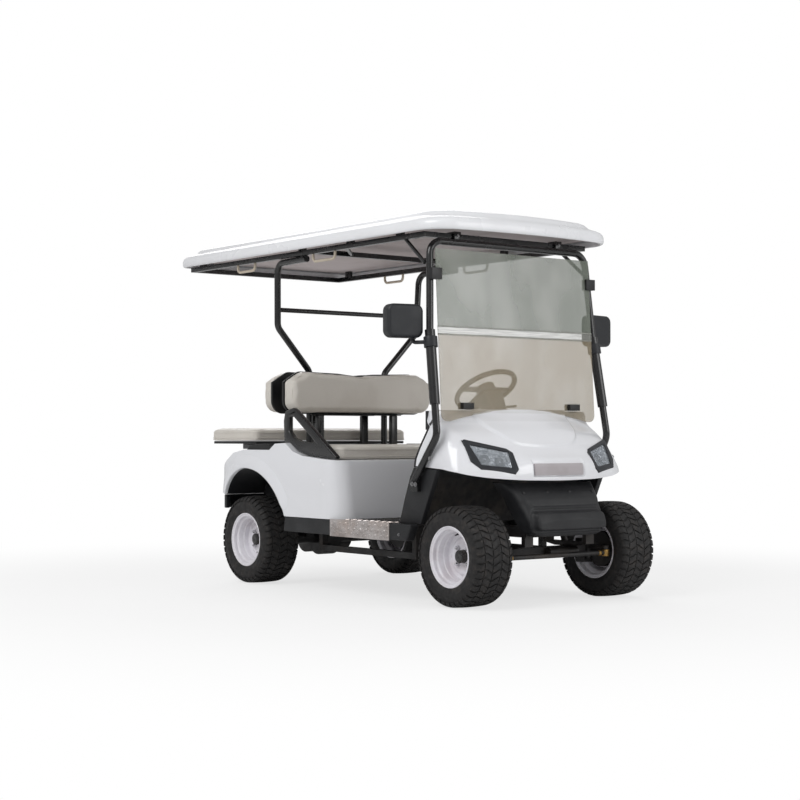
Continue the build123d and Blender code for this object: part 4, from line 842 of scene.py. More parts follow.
def backrestLoop(inset):  # outline of a backrest's face, its top dipping in the middle
    half, low, high = backrestFace["half"] - inset, backrestFace["low"] + inset, backrestFace["high"] - inset
    right = [(half * y, low + (high - low) * z) for y, z in backrestFace["outline"]]
    return right + [(-y, z) for y, z in reversed(right[1:-1])]


def addPads():
    for node, (reach, body, flatSide) in padPieces.items():
        pad = swollen(node, reach, flatSide)
        low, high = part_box(node)
        if "cushion" in node:
            loop = roundedLoop((low.x, low.y), (high.x, high.y), weltShape["corner"])
            foot, head = weltShape["cushion"]
            seams = [[(x, y, low.z + rise) for x, y in loop] for rise in (foot, high.z - low.z - head)]
        else:
            facing = -flatSide[0]
            face = high.x if facing > 0 else low.x
            seams = [[(face - facing * depth, y, z) for y, z in backrestLoop(inset)]
                     for inset, depth in weltShape["backrest"]]
        welt = joined(node + "_piping", [piping(node + "_welt", pad, seam) for seam in seams])
        keep(pad, "seatVinyl", "seat_vinyl", node, body=body)
        keep(welt, "seatVinyl", "seat_vinyl", body=body)
        print("padded", node)


addPads()


roofShape = dict(front=1.0425, tail=-1.2975, half=0.57, bow=0.060, bowReach=0.25, crown=1.8258,
                 liningTop=1.7462, cornerSteps=12, frontSteps=16,
                 # corners: radius, its loss by inset, least radius
                 frontCorner=(0.135, 0.3, 0.04), rearCorner=(0.05, 0.1, 0.03),
                 levels=[(0.016, 1.7405), (0.014, 1.7135), (0.008, 1.7122), (0.003, 1.7155), (0.0005, 1.724),
                         (0.0005, 1.742), (0.004, 1.7555), (0.012, 1.7655), (0.026, 1.7735), (0.043, 1.780),
                         (0.056, 1.7865), (0.064, 1.7955), (0.073, 1.8055), (0.088, 1.8125), (0.12, 1.8165),
                         (0.19, 1.8205), (0.30, 1.8235), (0.42, 1.8252)],
                 lining=[(0.0162, 1.7525), (0.0175, 1.7470), (0.0205, 1.7462)])


def roofLoop(inset):  # plan outline with a bowed front and rounded corners, always the same number of points
    shape = roofShape
    front, tail, half = shape["front"] - inset - shape["bow"], shape["tail"] + inset, shape["half"] - inset
    frontRadius, rearRadius = (max(radius - loss * inset, least)
                               for radius, loss, least in (shape["frontCorner"], shape["rearCorner"]))
    loop = []
    for x, y, radius, start in ((front, half, frontRadius, 0), (tail, half, rearRadius, 90),
                                (tail, -half, rearRadius, 180), (front, -half, frontRadius, 270)):
        cx, cy = x - math.copysign(radius, x), y - math.copysign(radius, y)
        for i in range(shape["cornerSteps"] + 1):
            angle = math.radians(start + 90 * i / shape["cornerSteps"])
            loop.append((cx + radius * math.cos(angle), cy + radius * math.sin(angle)))
    for i in range(1, shape["frontSteps"]):
        loop.append((front, (half - frontRadius) * (2 * i / shape["frontSteps"] - 1)))
    return [(x + between(front - shape["bowReach"], front, x) * shape["bow"] * (1 - (y / half) ** 2), y)
            for x, y in loop]


def ringShell(name, levels, height):  # a skin over rings of the roof's outline, closed at a middle point
    loops = [[(x, y, z) for x, y in roofLoop(inset)] for inset, z in levels]
    rings = len(loops[0])
    loops.append([((roofShape["front"] + roofShape["tail"]) / 2, 0, height)] * rings)
    shell = sheet(name, rings, len(levels))
    for vertex in shell.data.vertices:
        i = round((vertex.co.x + 1) / 2 * rings) % rings
        vertex.co = loops[round((vertex.co.y + 1) / 2 * len(levels))][i]
    return smooth(tidyMesh(shell), 60)


def addRoof():
    roof = ringShell("roof_panel_visual", roofShape["levels"], roofShape["crown"])
    keep(roof, "roofWhite", "body_white", "roof_panel")
    lining = ringShell("roof_lining_visual", roofShape["lining"], roofShape["liningTop"])
    keep(lining, "roofUnderShaded", "roof_underside", "roof_lining")


addRoof()
print("roof made")


axleX = 1.0525
cowlShape = dict(
    levels=[  # height, then the half outline from the nose to the side: ahead of the front axle, half width
        (0.556, [(.157, 0), (.152, .130), (.138, .250), (.095, .400), (.026, .510), (-.090, .528)]),
        (0.612, [(.157, 0), (.151, .130), (.135, .250), (.088, .400), (.018, .507), (-.090, .527)]),
        (0.650, [(.148, 0), (.143, .130), (.116, .250), (.064, .400), (.005, .499), (-.095, .525)]),
        (0.690, [(.098, 0), (.095, .130), (.084, .250), (.042, .400), (-.014, .488), (-.105, .519)]),
        (0.730, [(.052, 0), (.050, .130), (.042, .250), (.012, .400), (-.034, .474), (-.120, .510)]),
        (0.780, [(.001, 0), (.000, .130), (-.010, .250), (-.046, .400), (-.080, .462), (-.145, .497)]),
        (0.832, [(-.058, 0), (-.062, .130), (-.080, .250), (-.127, .400), (-.153, .462), (-.210, .486)]),
        (0.870, [(-.101, 0), (-.107, .130), (-.130, .250), (-.134, .380), (-.148, .445), (-.212, .478)]),
        (0.888, [(-.123, 0), (-.134, .130), (-.136, .250), (-.139, .370), (-.153, .440), (-.214, .474)])],
    band=[(-.268, .6265), (-.264, .667), (-.236, .744), (-.211, .805), (-.194, .850), (-.184, .900)],
    bandWidth=0.0123,
    lip=[(-.310, .636), (-.060, .620), (.021, .606), (.095, .583), (.160, .566)],
    top=0.888, across=256, up=112, wall=0.0035,
    hoodEdge=(0.064, 0.262, 0.09), hoodBow=(0.022, 0.2), hoodFlare=(0.28, -0.02), hoodRise=0.008,
    hoodSoft=0.005, plate=(0.150, 0.590, 0.646),  # the plate's half width, foot and top
    recess=0.010,  # how deep the plate's place lies, then its soft edges
    recessSide=(0.012, 0.003), recessFoot=(-0.010, -0.002), recessTop=(0.001, 0.026))
plateShape = dict(back=0.1465, front=0.1525, sink=0.0055, faces=(-0.004, 0.0035), cuts=11, bevel=0.0012)


def along(line, at):  # straight interpolation in a list of (position, value)
    for (a, av), (b, bv) in zip(line, line[1:]):
        if at <= b:
            return av + (bv - av) * min(max((at - a) / (b - a), 0), 1)
    return line[-1][1]


def cowlOutline(z):
    levels = cowlShape["levels"]
    heights = [level[0] for level in levels]
    i = max(j for j, h in enumerate(heights) if h <= max(z, heights[0]) + 1e-9)
    i = min(i, len(levels) - 2)
    at = i + min(max((z - heights[i]) / (heights[i + 1] - heights[i]), 0), 1)
    points = [tuple(spline([level[1][k][way] for level in levels], at) for way in (0, 1)) for k in range(6)]
    bandX = along([(h, x) for x, h in cowlShape["band"]], z) + cowlShape["bandWidth"]
    points.append((min(bandX, points[-1][0] - 0.004), points[-1][1] + 0.0005))
    return points


def mirroredOutline(z):  # stations and widths, with a point across the nose so that the curve starts level
    outline = cowlOutline(z)
    line = [(outline[1][0], -outline[1][1])] + outline
    return [point[0] for point in line], [point[1] for point in line]


def cowlPoint(t, v):  # t from the nose to the rear edge, 0 to 6; v from the lip to the top, 0 to 1
    x = 0.0
    for attempt in range(5):  # the lip's height depends on the station that is looked for
        low = along(cowlShape["lip"], x)
        z = low + (cowlShape["top"] - low) * v
        stations, widths = mirroredOutline(z)
        x, y = spline(stations, t + 1), spline(widths, t + 1)
    return x, y, z


def noseStation(y, z):  # how far ahead of the axle the nose is at a width and height
    stations, widths = mirroredOutline(z)
    low, high = 0.0, 3.0
    for attempt in range(24):
        middle = (low + high) / 2
        if spline(widths, middle + 1) < y:
            low = middle
        else:
            high = middle
    return spline(stations, low + 1)


def hoodDistance(x, y):  # how far inside the raised bonnet a point is, seen from above
    front, side, bend = cowlShape["hoodEdge"]
    bow, bowWidth = cowlShape["hoodBow"]
    flare, flareFrom = cowlShape["hoodFlare"]
    ahead = front - bow * (y / bowWidth) ** 2 - x
    aside = side + flare * (flareFrom - x) - abs(y)
    if ahead < bend and aside < bend:
        return bend - math.hypot(bend - ahead, bend - aside)
    return min(ahead, aside)


def addCowl():
    shape = cowlShape
    cowl = sheet("front_cowl_visual", shape["across"], shape["up"])
    plateHalf, plateLow, plateHigh = shape["plate"]
    for vertex in cowl.data.vertices:
        u, v = vertex.co.x, (vertex.co.y + 1) / 2
        x, y, z = cowlPoint(abs(u) * 6, v)
        rise = shape["hoodRise"] * between(-shape["hoodSoft"], shape["hoodSoft"], hoodDistance(x, y))
        # the blank plate's recess, with a sloping shelf above it
        inPlate = between(*shape["recessSide"], y - plateHalf) * between(*shape["recessFoot"], z - plateLow)
        inPlate *= 1 - between(*shape["recessTop"], z - plateHigh)
        x += 0.6 * rise - shape["recess"] * inPlate
        vertex.co = (axleX + x, (-1 if u < 0 else 1) * y, z + rise)
    tidyMesh(cowl)
    withModifier(cowl, "SMOOTH", factor=0.35, iterations=1)
    nose = max(cowl.data.polygons, key=lambda face: face.center.x)
    if nose.normal.x < 0:
        editAll(cowl)
        bpy.ops.mesh.flip_normals()
        leaveEdit()
    withModifier(cowl, "SOLIDIFY", thickness=shape["wall"], offset=-1)
    cutter = bothSides("lampCutters", lampPrism("lampCutter", lampShape["bezel"], *lampShape["cut"]))
    withModifier(cowl, "BOOLEAN", operation="DIFFERENCE", object=cutter, solver="EXACT")
    bpy.data.objects.remove(cutter)
    keep(smooth(cowl, 40), "bodyWhite", "body_white", "front_cowl")


def addPlate():
    half, low, high = cowlShape["plate"]
    back, front = axleX + plateShape["back"], axleX + plateShape["front"]
    plate = block("blank_plate", (back, -half, low + 0.001), (front, half, high - 0.001))
    editAll(plate)
    bpy.ops.mesh.subdivide(number_cuts=plateShape["cuts"])
    leaveEdit()
    for vertex in plate.data.vertices:
        x, y, z = vertex.co
        face = plateShape["faces"][x > (back + front) / 2]
        vertex.co.x = axleX + noseStation(abs(y), z) - plateShape["sink"] + face
    withModifier(plate, "BEVEL", width=plateShape["bevel"], segments=2, limit_method="ANGLE",
                 angle_limit=math.radians(50))
    keep(smooth(plate, 40), "plateGrey", "body_white")


lampShape = dict(
    centre=(axleX + 0.0665, -0.3432, 0.6765),
    sideways=(0.3156, 0.9489, 0.0), outward=(0.8110, -0.2698, 0.5191),
    bezel=[(-.126, .095), (.080, .043), (.109, .021), (.120, -.067), (.101, -.088), (-.063, -.066),
           (-.104, -.022)],
    lens=[(-.096, .065), (.088, .024), (.092, -.058), (-.056, -.042)],
    # cut and lensPlace: growth of the outline, near and far face
    cut=(0.0007, -0.07, 0.09), lensPlace=(-0.0012, -0.0055, -0.0015), bezelEdge=0.0035, lensEdge=0.006)
trayShape = dict(
    cells=(22, 12), rim=-0.008, sink=0.020, slope=0.16, tall=0.6, rough=0.0016, wall=0.0015,
    bowls=[(-0.022, 0.004), (0.048, -0.012)], bowlRadius=0.033, bowlDepth=-0.046, bowlCurve=22,
    bulb=(-0.045, -0.026, 0.006, 0.0045))


def lampPlace(a, b, height):  # a point of the right lamp's own plane
    sideways = Vector(lampShape["sideways"]).normalized()
    outward = Vector(lampShape["outward"]).normalized()
    upward = outward.cross(sideways)
    return Vector(lampShape["centre"]) + sideways * a + upward * b + outward * height


def lampPrism(name, outline, grow, near, far):
    middle = (sum(a for a, b in outline) / len(outline), sum(b for a, b in outline) / len(outline))
    spread = []
    for a, b in outline:
        reach = math.dist((a, b), middle)
        spread.append((a + (a - middle[0]) * grow / reach, b + (b - middle[1]) * grow / reach))
    piece = outlineMesh(name, [lampPlace(a, b, near) for a, b in spread])
    bpy.ops.mesh.select_all(action="SELECT")
    bpy.ops.mesh.edge_face_add()
    step = lampPlace(0, 0, far) - lampPlace(0, 0, near)
    bpy.ops.mesh.extrude_region_move(TRANSFORM_OT_translate={"value": step})
    leaveEdit()
    return tidyMesh(piece)


def addReflectors():  # a faceted tray with two bowls and bulbs behind each lens
    shape = trayShape
    topOuter, topInner, footInner, footOuter = lampShape["lens"]
    tray = sheet("trayPart", *shape["cells"])
    draw = random.Random(5)
    for vertex in tray.data.vertices:
        s, t = (vertex.co.x + 1) / 2, (vertex.co.y + 1) / 2
        top = [topOuter[k] + (topInner[k] - topOuter[k]) * s for k in (0, 1)]
        foot = [footOuter[k] + (footInner[k] - footOuter[k]) * s for k in (0, 1)]
        a, b = (foot[k] + (top[k] - foot[k]) * t for k in (0, 1))
        edge = min(s, 1 - s, t * shape["tall"], (1 - t) * shape["tall"])
        depth = shape["rim"] - shape["sink"] * between(0.0, shape["slope"], edge)
        for bowl in shape["bowls"]:
            reach = math.dist((a, b), bowl)
            if reach < shape["bowlRadius"]:
                depth = min(depth, shape["bowlDepth"] + shape["bowlCurve"] * reach ** 2)
        vertex.co = lampPlace(a, b, depth + draw.uniform(-shape["rough"], shape["rough"]))
    withModifier(tray, "SOLIDIFY", thickness=shape["wall"], offset=0)
    near, far, radius, tip = shape["bulb"]
    bulbs = [rod("bulbPart", lampPlace(a, b, near), lampPlace(a, b, far), radius, 16, 0.002, tip)
             for a, b in shape["bowls"]]
    keep(bothSides("headlamp_reflectors", joined("trayParts", [tray] + bulbs)), "lampReflector", "lamp_clear")


def addHeadlamps():
    bezel = softened("headlamp_bezels_visual", "headlamp_bezels", lampShape["bezelEdge"])
    keep(bezel, "bezelGrey", "black_plastic", "headlamp_bezels")
    lens = lampPrism("lensPart", lampShape["lens"], *lampShape["lensPlace"])
    withModifier(lens, "BEVEL", width=lampShape["lensEdge"], segments=4, limit_method="ANGLE",
                 angle_limit=math.radians(60))
    lens = smooth(bothSides("headlamp_lenses_visual", lens), 30)
    keep(lens, "lampLens", "lamp_clear", "headlamp_lenses")
    addReflectors()


addCowl()
addHeadlamps()
addPlate()
print("cowl and headlamps made")


bumperShape = dict(
    line=[(.086, .556, .284), (.149, .506, .257), (.206, .430, .239), (.233, .380, .231), (.2385, .335, .214),
          (.222, .317, .196)],  # station ahead of the axle, height, half width, from the top to the foot
    back=[(.317, .150), (.430, .080), (.556, .010)],
    across=196, down=98, corner=0.045, crown=0.006, wall=0.004, foremost=0.2445,
    pad=(0.212, 0.345, 0.427),  # half width, foot and top of the raised pad
    padRise=0.0215, padEnds=0.018, padEdge=(-0.007, 0.001),
    sunk=0.005, sunkFade=(0.03, 0.06),  # the face below the slope, and where above the pad it ends
    groove=0.005, grooveAt=0.006, grooveEdge=(0.008, 0.003),  # round the pad
    crease=(0.004, 0.026, 0.05, 0.006),  # depth, how far above the pad and short of the side, half width
    clips=(-0.215, -0.07, 0.07, 0.215), clipPlace=(0.5, 0.18), clipRadius=0.007,
    clipBack=(0.006, 0.003), clipOut=(0.003, 0.002))


def bumperPoint(s, t):  # s from the middle to the back of the side, 0 to 1; t from the top to the foot, 0 to 1
    shape = bumperShape
    at = t * (len(shape["line"]) - 1)
    x, z, half = (spline([point[k] for point in shape["line"]], at) for k in range(3))
    corner = shape["corner"]
    front = half - corner
    arc = corner * math.pi / 2
    side = max(x - corner - along(shape["back"], z), 0.01)
    reach = s * (front + arc + side)
    if reach <= front:
        y, depth, share = reach, 0.0, reach / front
    elif reach <= front + arc:
        angle = (reach - front) / corner
        y, depth, share = front + corner * math.sin(angle), corner * (1 - math.cos(angle)), 1.0
    else:
        y, depth, share = half, corner + reach - front - arc, 1.0
    return x - depth - shape["crown"] * share ** 2, y, z


def bumperHalf(z):
    return along([(height, half) for station, height, half in reversed(bumperShape["line"])], z)


def addBumper():
    shape = bumperShape
    bumper = sheet("front_bumper_visual", shape["across"], shape["down"])
    padHalf, padLow, padHigh = shape["pad"]
    ends = shape["padEnds"]
    fadeLow, fadeHigh = (padHigh + rise for rise in shape["sunkFade"])
    deep, above, short, creaseHalf = shape["crease"]
    for vertex in bumper.data.vertices:
        u, t = vertex.co.x, (1 - vertex.co.y) / 2
        x, y, z = bumperPoint(abs(u), t)
        dy = max(y - (padHalf - ends), 0)
        dz = max(abs(z - (padLow + padHigh) / 2) - (padHigh - padLow) / 2 + ends, 0)
        out = math.hypot(dy, dz) - ends  # distance outside the raised pad
        x += shape["padRise"] * (1 - between(*shape["padEdge"], out))
        x -= shape["sunk"] * (1 - between(fadeLow, fadeHigh, z))
        x -= shape["groove"] * between(*shape["grooveEdge"], abs(out - shape["grooveAt"]))
        if y < bumperHalf(z) - short:
            x -= deep * (1 - between(0.0, creaseHalf, abs(z - (padHigh + above))))
        vertex.co = (axleX + min(x, shape["foremost"]), math.copysign(y, u), z)
    tidyMesh(bumper)
    withModifier(bumper, "SMOOTH", factor=0.25, iterations=1)
    withModifier(bumper, "SOLIDIFY", thickness=shape["wall"], offset=-1)
    keep(smooth(bumper, 45), "grainedBlack", "black_plastic", "front_bumper")
    x, y, z = bumperPoint(*shape["clipPlace"])  # push clips in the upper slope
    x += axleX
    (backX, backZ), (outX, outZ) = shape["clipBack"], shape["clipOut"]
    clips = [rod("clipPart", (x - backX, y, z - backZ), (x + outX, y, z + outZ), shape["clipRadius"],
                 18, 0.001) for y in shape["clips"]]
    keep(joined("bumper_clips", clips), "softBlack", "black_plastic")


addBumper()
print("bumper made")


bodyShape = dict(
    side=0.590, fold=0.105, foldCuts=(0.110, 19, 0.455, 16, 0.0085), kick=[(0.366, 0.2705), (0.652, 0.2245)],
    tailCorner=(-0.7495, 0.110), archRear=[(-.7695, .463), (-.7155, .545), (-.5825, .603)],
    archFront=[(-.5825, .603), (-.3695, .549), (-.2035, .3685)], archSteps=(20, 34),
    edge=0.007, flareTail=-0.8575, flareFeet=(0.4635, 0.3685),  # the flare's rear end, its two feet
    flareFade=(5, 0.004),  # over how many stations it sinks in at its front foot, and how far
    flare=[(0.000, -0.012), (-0.001, 0.004), (0.002, 0.0085), (0.010, 0.0105), (0.024, 0.0095),
           (0.042, 0.0062), (0.058, 0.0026), (0.070, 0.0004), (0.080, -0.0025)])


def arcThrough(first, middle, last, count):  # points on the circle through three points
    (ax, az), (bx, bz), (cx, cz) = first, middle, last
    a, b, c = ax * ax + az * az, bx * bx + bz * bz, cx * cx + cz * cz
    twice = 2 * (ax * (bz - cz) + bx * (cz - az) + cx * (az - bz))
    ux = (a * (bz - cz) + b * (cz - az) + c * (az - bz)) / twice
    uz = (a * (cx - bx) + b * (ax - cx) + c * (bx - ax)) / twice
    radius = math.dist(first, (ux, uz))
    start, end = math.atan2(az - uz, ax - ux), math.atan2(cz - uz, cx - ux)
    sweep = (end - start + math.pi) % (2 * math.pi) - math.pi
    angles = [start + sweep * i / count for i in range(count + 1)]
    return [(ux + radius * math.cos(angle), uz + radius * math.sin(angle)) for angle in angles]


def bodySide(x):  # half width of the rear body where its tail corner curves in
    start, radius = bodyShape["tailCorner"]
    past = min(max(start - x, 0), radius * 0.97)
    return bodyShape["side"] - radius + math.sqrt(radius ** 2 - past ** 2)


def foldCorners(body):  # the wide upright folds between the sides and the kick panel
    fold, side = bodyShape["fold"], bodyShape["side"]
    fromX, countX, fromY, countY, step = bodyShape["foldCuts"]
    cuts = [((fromX + step * i, 0, 0), (1, 0, 0)) for i in range(countX)]
    cuts += [((0, way * (fromY + step * i), 0), (0, 1, 0)) for way in (-1, 1) for i in range(countY)]
    editAll(body)
    for place, normal in cuts:
        bpy.ops.mesh.select_all(action="SELECT")
        bpy.ops.mesh.bisect(plane_co=place, plane_no=normal)
    leaveEdit()
    for vertex in body.data.vertices:
        x, y, z = vertex.co
        kickX = along(bodyShape["kick"], z)
        ahead, aside = x - (kickX - fold), abs(y) - (side - fold)
        reach = math.hypot(ahead, aside)
        if ahead > 0 and aside > 0 and reach > fold:
            vertex.co.x = kickX - fold + ahead * fold / reach
            vertex.co.y = math.copysign(side - fold + aside * fold / reach, y)
    smooth(body, 35)


def addFlares():  # the rolled edges round the rear wheel arches
    shape = bodyShape
    arch = arcThrough(*shape["archRear"], shape["archSteps"][0])
    arch += arcThrough(*shape["archFront"], shape["archSteps"][1])[1:]
    last, across = len(arch) - 1, shape["flare"]
    fadeSteps, sink = shape["flareFade"]
    flare = sheet("archFlare", last, len(across) - 1)
    for vertex in flare.data.vertices:
        i = round((vertex.co.x + 1) / 2 * last)
        offset, rise = across[round((vertex.co.y + 1) / 2 * (len(across) - 1))]
        before, after = arch[max(i - 1, 0)], arch[min(i + 1, last)]
        run = Vector((after[0] - before[0], after[1] - before[1])).normalized()
        x, z = arch[i][0] - run.y * offset, arch[i][1] + run.x * offset
        x, z = max(x, shape["flareTail"]), max(z, shape["flareFeet"][x > -0.5])
        fade = between(0, fadeSteps, last - i)
        vertex.co = (x, -bodySide(x) - rise * fade + sink * (1 - fade), z)
    tidyMesh(flare)
    withModifier(flare, "SUBSURF", levels=1, render_levels=1)
    keep(smooth(bothSides("arch_flares", flare), 50), "bodyWhite", "body_white")


def addRearBody():
    body = softened("rear_body_visual", "rear_body", bodyShape["edge"], 4)
    foldCorners(body)
    keep(body, "bodyWhite", "body_white", "rear_body")
    addFlares()


# moulded trim: the solids with softened edges
trimPieces = {  # node: bevel, finish, slot
    "hip_restraints": (0.0085, "frameBlack", "frame_black"),
    "front_valances": (0.004, "grainedBlack", "black_plastic"),
    "sills": (0.006, "grainedBlack", "black_plastic"),
    "rear_bumper": (0.008, "grainedBlack", "black_plastic"),
    "rear_trays": (0.006, "trimBlack", "black_plastic"),
    "backrest_shells": (0.005, "trimBlack", "black_plastic"),
    "windshield_fittings": (0.0025, "trimBlack", "black_plastic"),
    "pedals": (0.003, "trimBlack", "black_plastic"),
    "tail_lamps": (0.006, "lampRed", "lamp_red"),
    "seat_posts": (0.004, "frameBlack", "frame_black"),
    "mirrors": (0.004, "mirrorBlack", "black_plastic"),
    "dashboard": (0.005, "trimBlack", "black_plastic"),
}


rearPan = dict(middle=(-0.8335, 0, 0.737), scale=(0.955, 0.972, 1, 1), edge=0.003)
mirrorShape = dict(place=(0.8165, 0.612, 1.297), across=(-0.2079, 0.9781, 0), outward=(-0.9781, -0.2079, 0),
                   ahead=0.0305, half=(0.0012, 0.078, 0.064), corner=0.026)


def addMirrorGlass():
    shape = mirrorShape
    glass = block("mirrorPane", [-size for size in shape["half"]], shape["half"])
    pick(glass, "EDGE", lambda a, b: abs(a.x - b.x) > 0.001)
    bpy.ops.mesh.bevel(offset=shape["corner"], segments=6, affect="EDGES")
    leaveEdit()
    outward = Vector(shape["outward"])
    glass.data.transform(Matrix((outward, Vector(shape["across"]), Vector((0, 0, 1)))).transposed().to_4x4())
    glass.data.transform(Matrix.Translation(Vector(shape["place"]) + outward * shape["ahead"]))
    keep(smooth(bothSides("mirror_glass", glass), 30), "mirrorGlass", "hub_metal")


def addTrim():
    for node, (width, finish, slot) in trimPieces.items():
        keep(softened(node + "_visual", node, width), finish, slot, node)
    pan = softened("seat_pan_rear_visual", "seat_pan_rear", rearPan["edge"], 2)
    middle = Vector(rearPan["middle"])
    narrower = Matrix.Diagonal(rearPan["scale"])
    pan.data.transform(Matrix.Translation(middle) @ narrower @ Matrix.Translation(-middle))
    keep(pan, "trimBlack", "black_plastic", "seat_pan_rear")
    addMirrorGlass()


treadShape = dict(pitch=0.0235, bar=(0.0215, 0.0046, 0.0016), taper=(0.72, 0.5, 1), x=(0.216, 0.674),
                  side=0.593, rows=(0.302, 0.3255, 0.349),
                  topX=0.288, topZ=0.369, topRows=(0.534, 0.5575, 0.581))
matShape = dict(x=0.292, pitch=0.0165, count=24, width=0.0085, half=0.486, z=(0.3655, 0.3685))


def addTread():
    shape = treadShape
    length, width, rise = shape["bar"]
    bar = block("treadBar", (-length / 2, -width / 2, -rise / 2), (length / 2, width / 2, rise))
    pick(bar, "VERT", lambda co: co.z > 0)
    bpy.ops.transform.resize(value=shape["taper"])
    leaveEdit()
    bars = []
    for i in range(round((shape["x"][1] - shape["x"][0]) / shape["pitch"]) + 1):
        x = shape["x"][0] + i * shape["pitch"]
        for j, (z, topY) in enumerate(zip(shape["rows"], shape["topRows"])):
            turn = Matrix.Rotation(math.radians(45 if (i + j) % 2 else -45), 4, "Z")
            upright = Matrix.Translation((x, -shape["side"], z)) @ Matrix.Rotation(math.radians(90), 4, "X")
            bars.append(twin(bar, "treadBar_side", upright @ turn))
            if x > shape["topX"]:
                bars.append(twin(bar, "treadBar_top", Matrix.Translation((x, -topY, shape["topZ"])) @ turn))
    bpy.data.objects.remove(bar)
    keep(bothSides("tread_bars", joined("treadBars", bars)), "treadAluminium", "tread_aluminium")


def addMatRibs():
    shape = matShape
    foot, top = shape["z"]
    starts = [shape["x"] + shape["pitch"] * i for i in range(shape["count"])]
    ribs = [block("matRib", (x, -shape["half"], foot), (x + shape["width"], shape["half"], top), 0.001, 1)
            for x in starts]
    keep(joined("floor_mat_ribs", ribs), "matRubber", "mat_rubber")


boltPlaces = [  # place, the way it points, radius
    ((0.8665, -0.5825, 0.550), (0, -1, 0), 0.0072), ((0.842, -0.5825, 0.552), (0, -1, 0), 0.0072),
    ((0.9617, -0.574, 0.6687), (0.25, -1, 0), 0.0068), ((0.7518, -0.590, 0.3171), (0, -1, 0), 0.005),
    ((0.853, -0.32, 1.704), (1, 0, 0), 0.006)]
boltShape = dict(sunk=0.001, washer=0.0018, headFoot=0.0015,
                 washerWide=1.45, headHigh=0.75)  # as shares of the bolt's radius
clampBlocks = [  # straps that hold the roof's front tube to the hoop
    ("clampStrap", (0.792, -0.341, 1.684), (0.8535, -0.299, 1.7245)),
    ("clampFoot", (0.788, -0.334, 1.664), (0.812, -0.306, 1.690))]
rodEnd = dict(x=1.1725, y=0.318, z=0.2195, eye=(0.2035, 0.2355, 0.0185), nut=(0.235, 0.2425, 0.0105),
              lockNut=(0.048, 0.032, 0.0135))


def bolt(place, outward, radius):  # a washer and a hexagon head
    place, outward = Vector(place), Vector(outward).normalized()
    foot, seat = place - outward * boltShape["sunk"], place + outward * boltShape["washer"]
    washer = rod("boltWasher", foot, seat, radius * boltShape["washerWide"], 24, 0.0005)
    low = place + outward * boltShape["headFoot"]
    top = place + outward * (boltShape["washer"] + radius * boltShape["headHigh"])
    return [washer, rod("boltHead", low, top, radius, 6, 0.0007)]


def addHardware():
    bolts = [part for place in boltPlaces for part in bolt(*place)]
    keep(bothSides("body_bolts", joined("boltParts", bolts)), "steel", "hub_metal")
    clamps = [block(name, low, high, 0.004) for name, low, high in clampBlocks]
    keep(bothSides("roof_clamps", joined("clampParts", clamps)), "frameBlack", "frame_black")
    ends = []
    x, z = rodEnd["x"], rodEnd["z"]
    for side in (-1, 1):
        y = side * rodEnd["y"]
        for name, sides, bevel in (("eye", 28, 0.003), ("nut", 6, 0.001)):
            low, high, radius = rodEnd[name]
            ends.append(rod("rodPart", (x, y, low), (x, y, high), radius, sides, bevel))
        inner, outer, radius = rodEnd["lockNut"]
        ends.append(rod("lockNut", (x, y - side * inner, z), (x, y - side * outer, z), radius, 6, 0.001))
    keep(joined("tie_rod_ends", ends), "brass", "hub_metal", body="tie_rod")


batteryShape = dict(  # under the tipping seat
    x=(-0.268, 0.132), half=0.330, foot=0.360, top=0.588, columns=2, rows=3, gap=0.003,
    lidInset=0.006, lidRise=0.004, edge=0.0025,
    caps=(0.25, 0.5, 0.75), cap=(0.003, 0.0105, 0.017), posts=(0.14, 0.86), postAt=0.16,
    post=(0.003, 0.0115, 0.007, 0.006))  # cap, post: foot and top above the case, radius, far radius


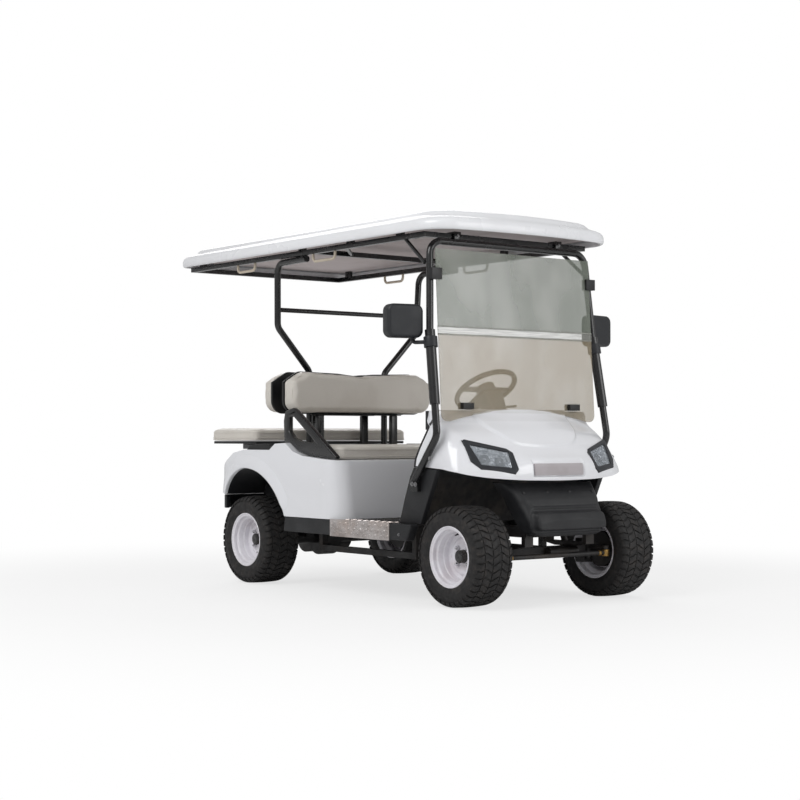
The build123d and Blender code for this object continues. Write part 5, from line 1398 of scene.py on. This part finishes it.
def addBatteries():
    shape = batteryShape
    cases, caps, posts = [], [], []
    long = (shape["x"][1] - shape["x"][0]) / shape["columns"]
    wide = 2 * shape["half"] / shape["rows"]
    gap, top = shape["gap"], shape["top"]
    for column in range(shape["columns"]):
        for row in range(shape["rows"]):
            x, y = shape["x"][0] + column * long, -shape["half"] + row * wide
            case = block("batteryCase", (x + gap / 2, y + gap / 2, shape["foot"]),
                         (x + long - gap / 2, y + wide - gap / 2, top))
            pick(case, "FACE", lambda center, normal: normal.z > 0.9)
            bpy.ops.mesh.inset(thickness=shape["lidInset"])
            bpy.ops.mesh.extrude_region_move(TRANSFORM_OT_translate={"value": (0, 0, shape["lidRise"])})
            leaveEdit()
            cases.append(withModifier(case, "BEVEL", width=shape["edge"], segments=2, limit_method="ANGLE"))
            foot, head, radius = shape["cap"]
            for share in shape["caps"]:
                at = (x + long / 2, y + wide * share)
                caps.append(rod("ventCap", (*at, top + foot), (*at, top + head), radius, 24, 0.0015))
            foot, head, radius, tip = shape["post"]
            for share in shape["posts"]:
                at = (x + long * shape["postAt"], y + wide * share)
                posts.append(rod("batteryPost", (*at, top + foot), (*at, top + head), radius, 18, 0.001, tip))
    keep(smooth(joined("battery_cases", cases)), "batteryBlack", "battery_case", "battery_pack")
    keep(joined("battery_caps", caps), "softBlack", "battery_case")
    keep(joined("battery_posts", posts), "steel", "hub_metal")


switches = [  # y, how far back it reaches, radius, sides
    ("keySwitch", 0.10, 0.738, 0.014, 28), ("rockerSwitch", 0.045, 0.742, 0.011, 24)]
dashFace = dict(x=0.7495, z=0.800)
stripLines = dict(half=0.479, radius=0.0022, places=[(0.9155, 1.2395), (0.9135, 1.2725)])


def addCabin():
    x, z = dashFace["x"], dashFace["z"]
    controls = [rod(name, (x, y, z), (back, y, z), radius, sides, 0.002)
                for name, y, back, radius, sides in switches]
    keep(joined("dash_switches", controls), "chrome", "hub_metal")
    half = stripLines["half"]
    lines = [rod("stripLine", (x, -half, z), (x, half, z), stripLines["radius"], 12)
             for x, z in stripLines["places"]]
    keep(joined("hinge_strip_lines", lines), "hingeStrip", "clear_sheet")


addRearBody()
print("rear body made")
addTrim()
addTread()
addMatRibs()
addHardware()
addBatteries()
addCabin()
print("trim, tread, hardware and batteries made")
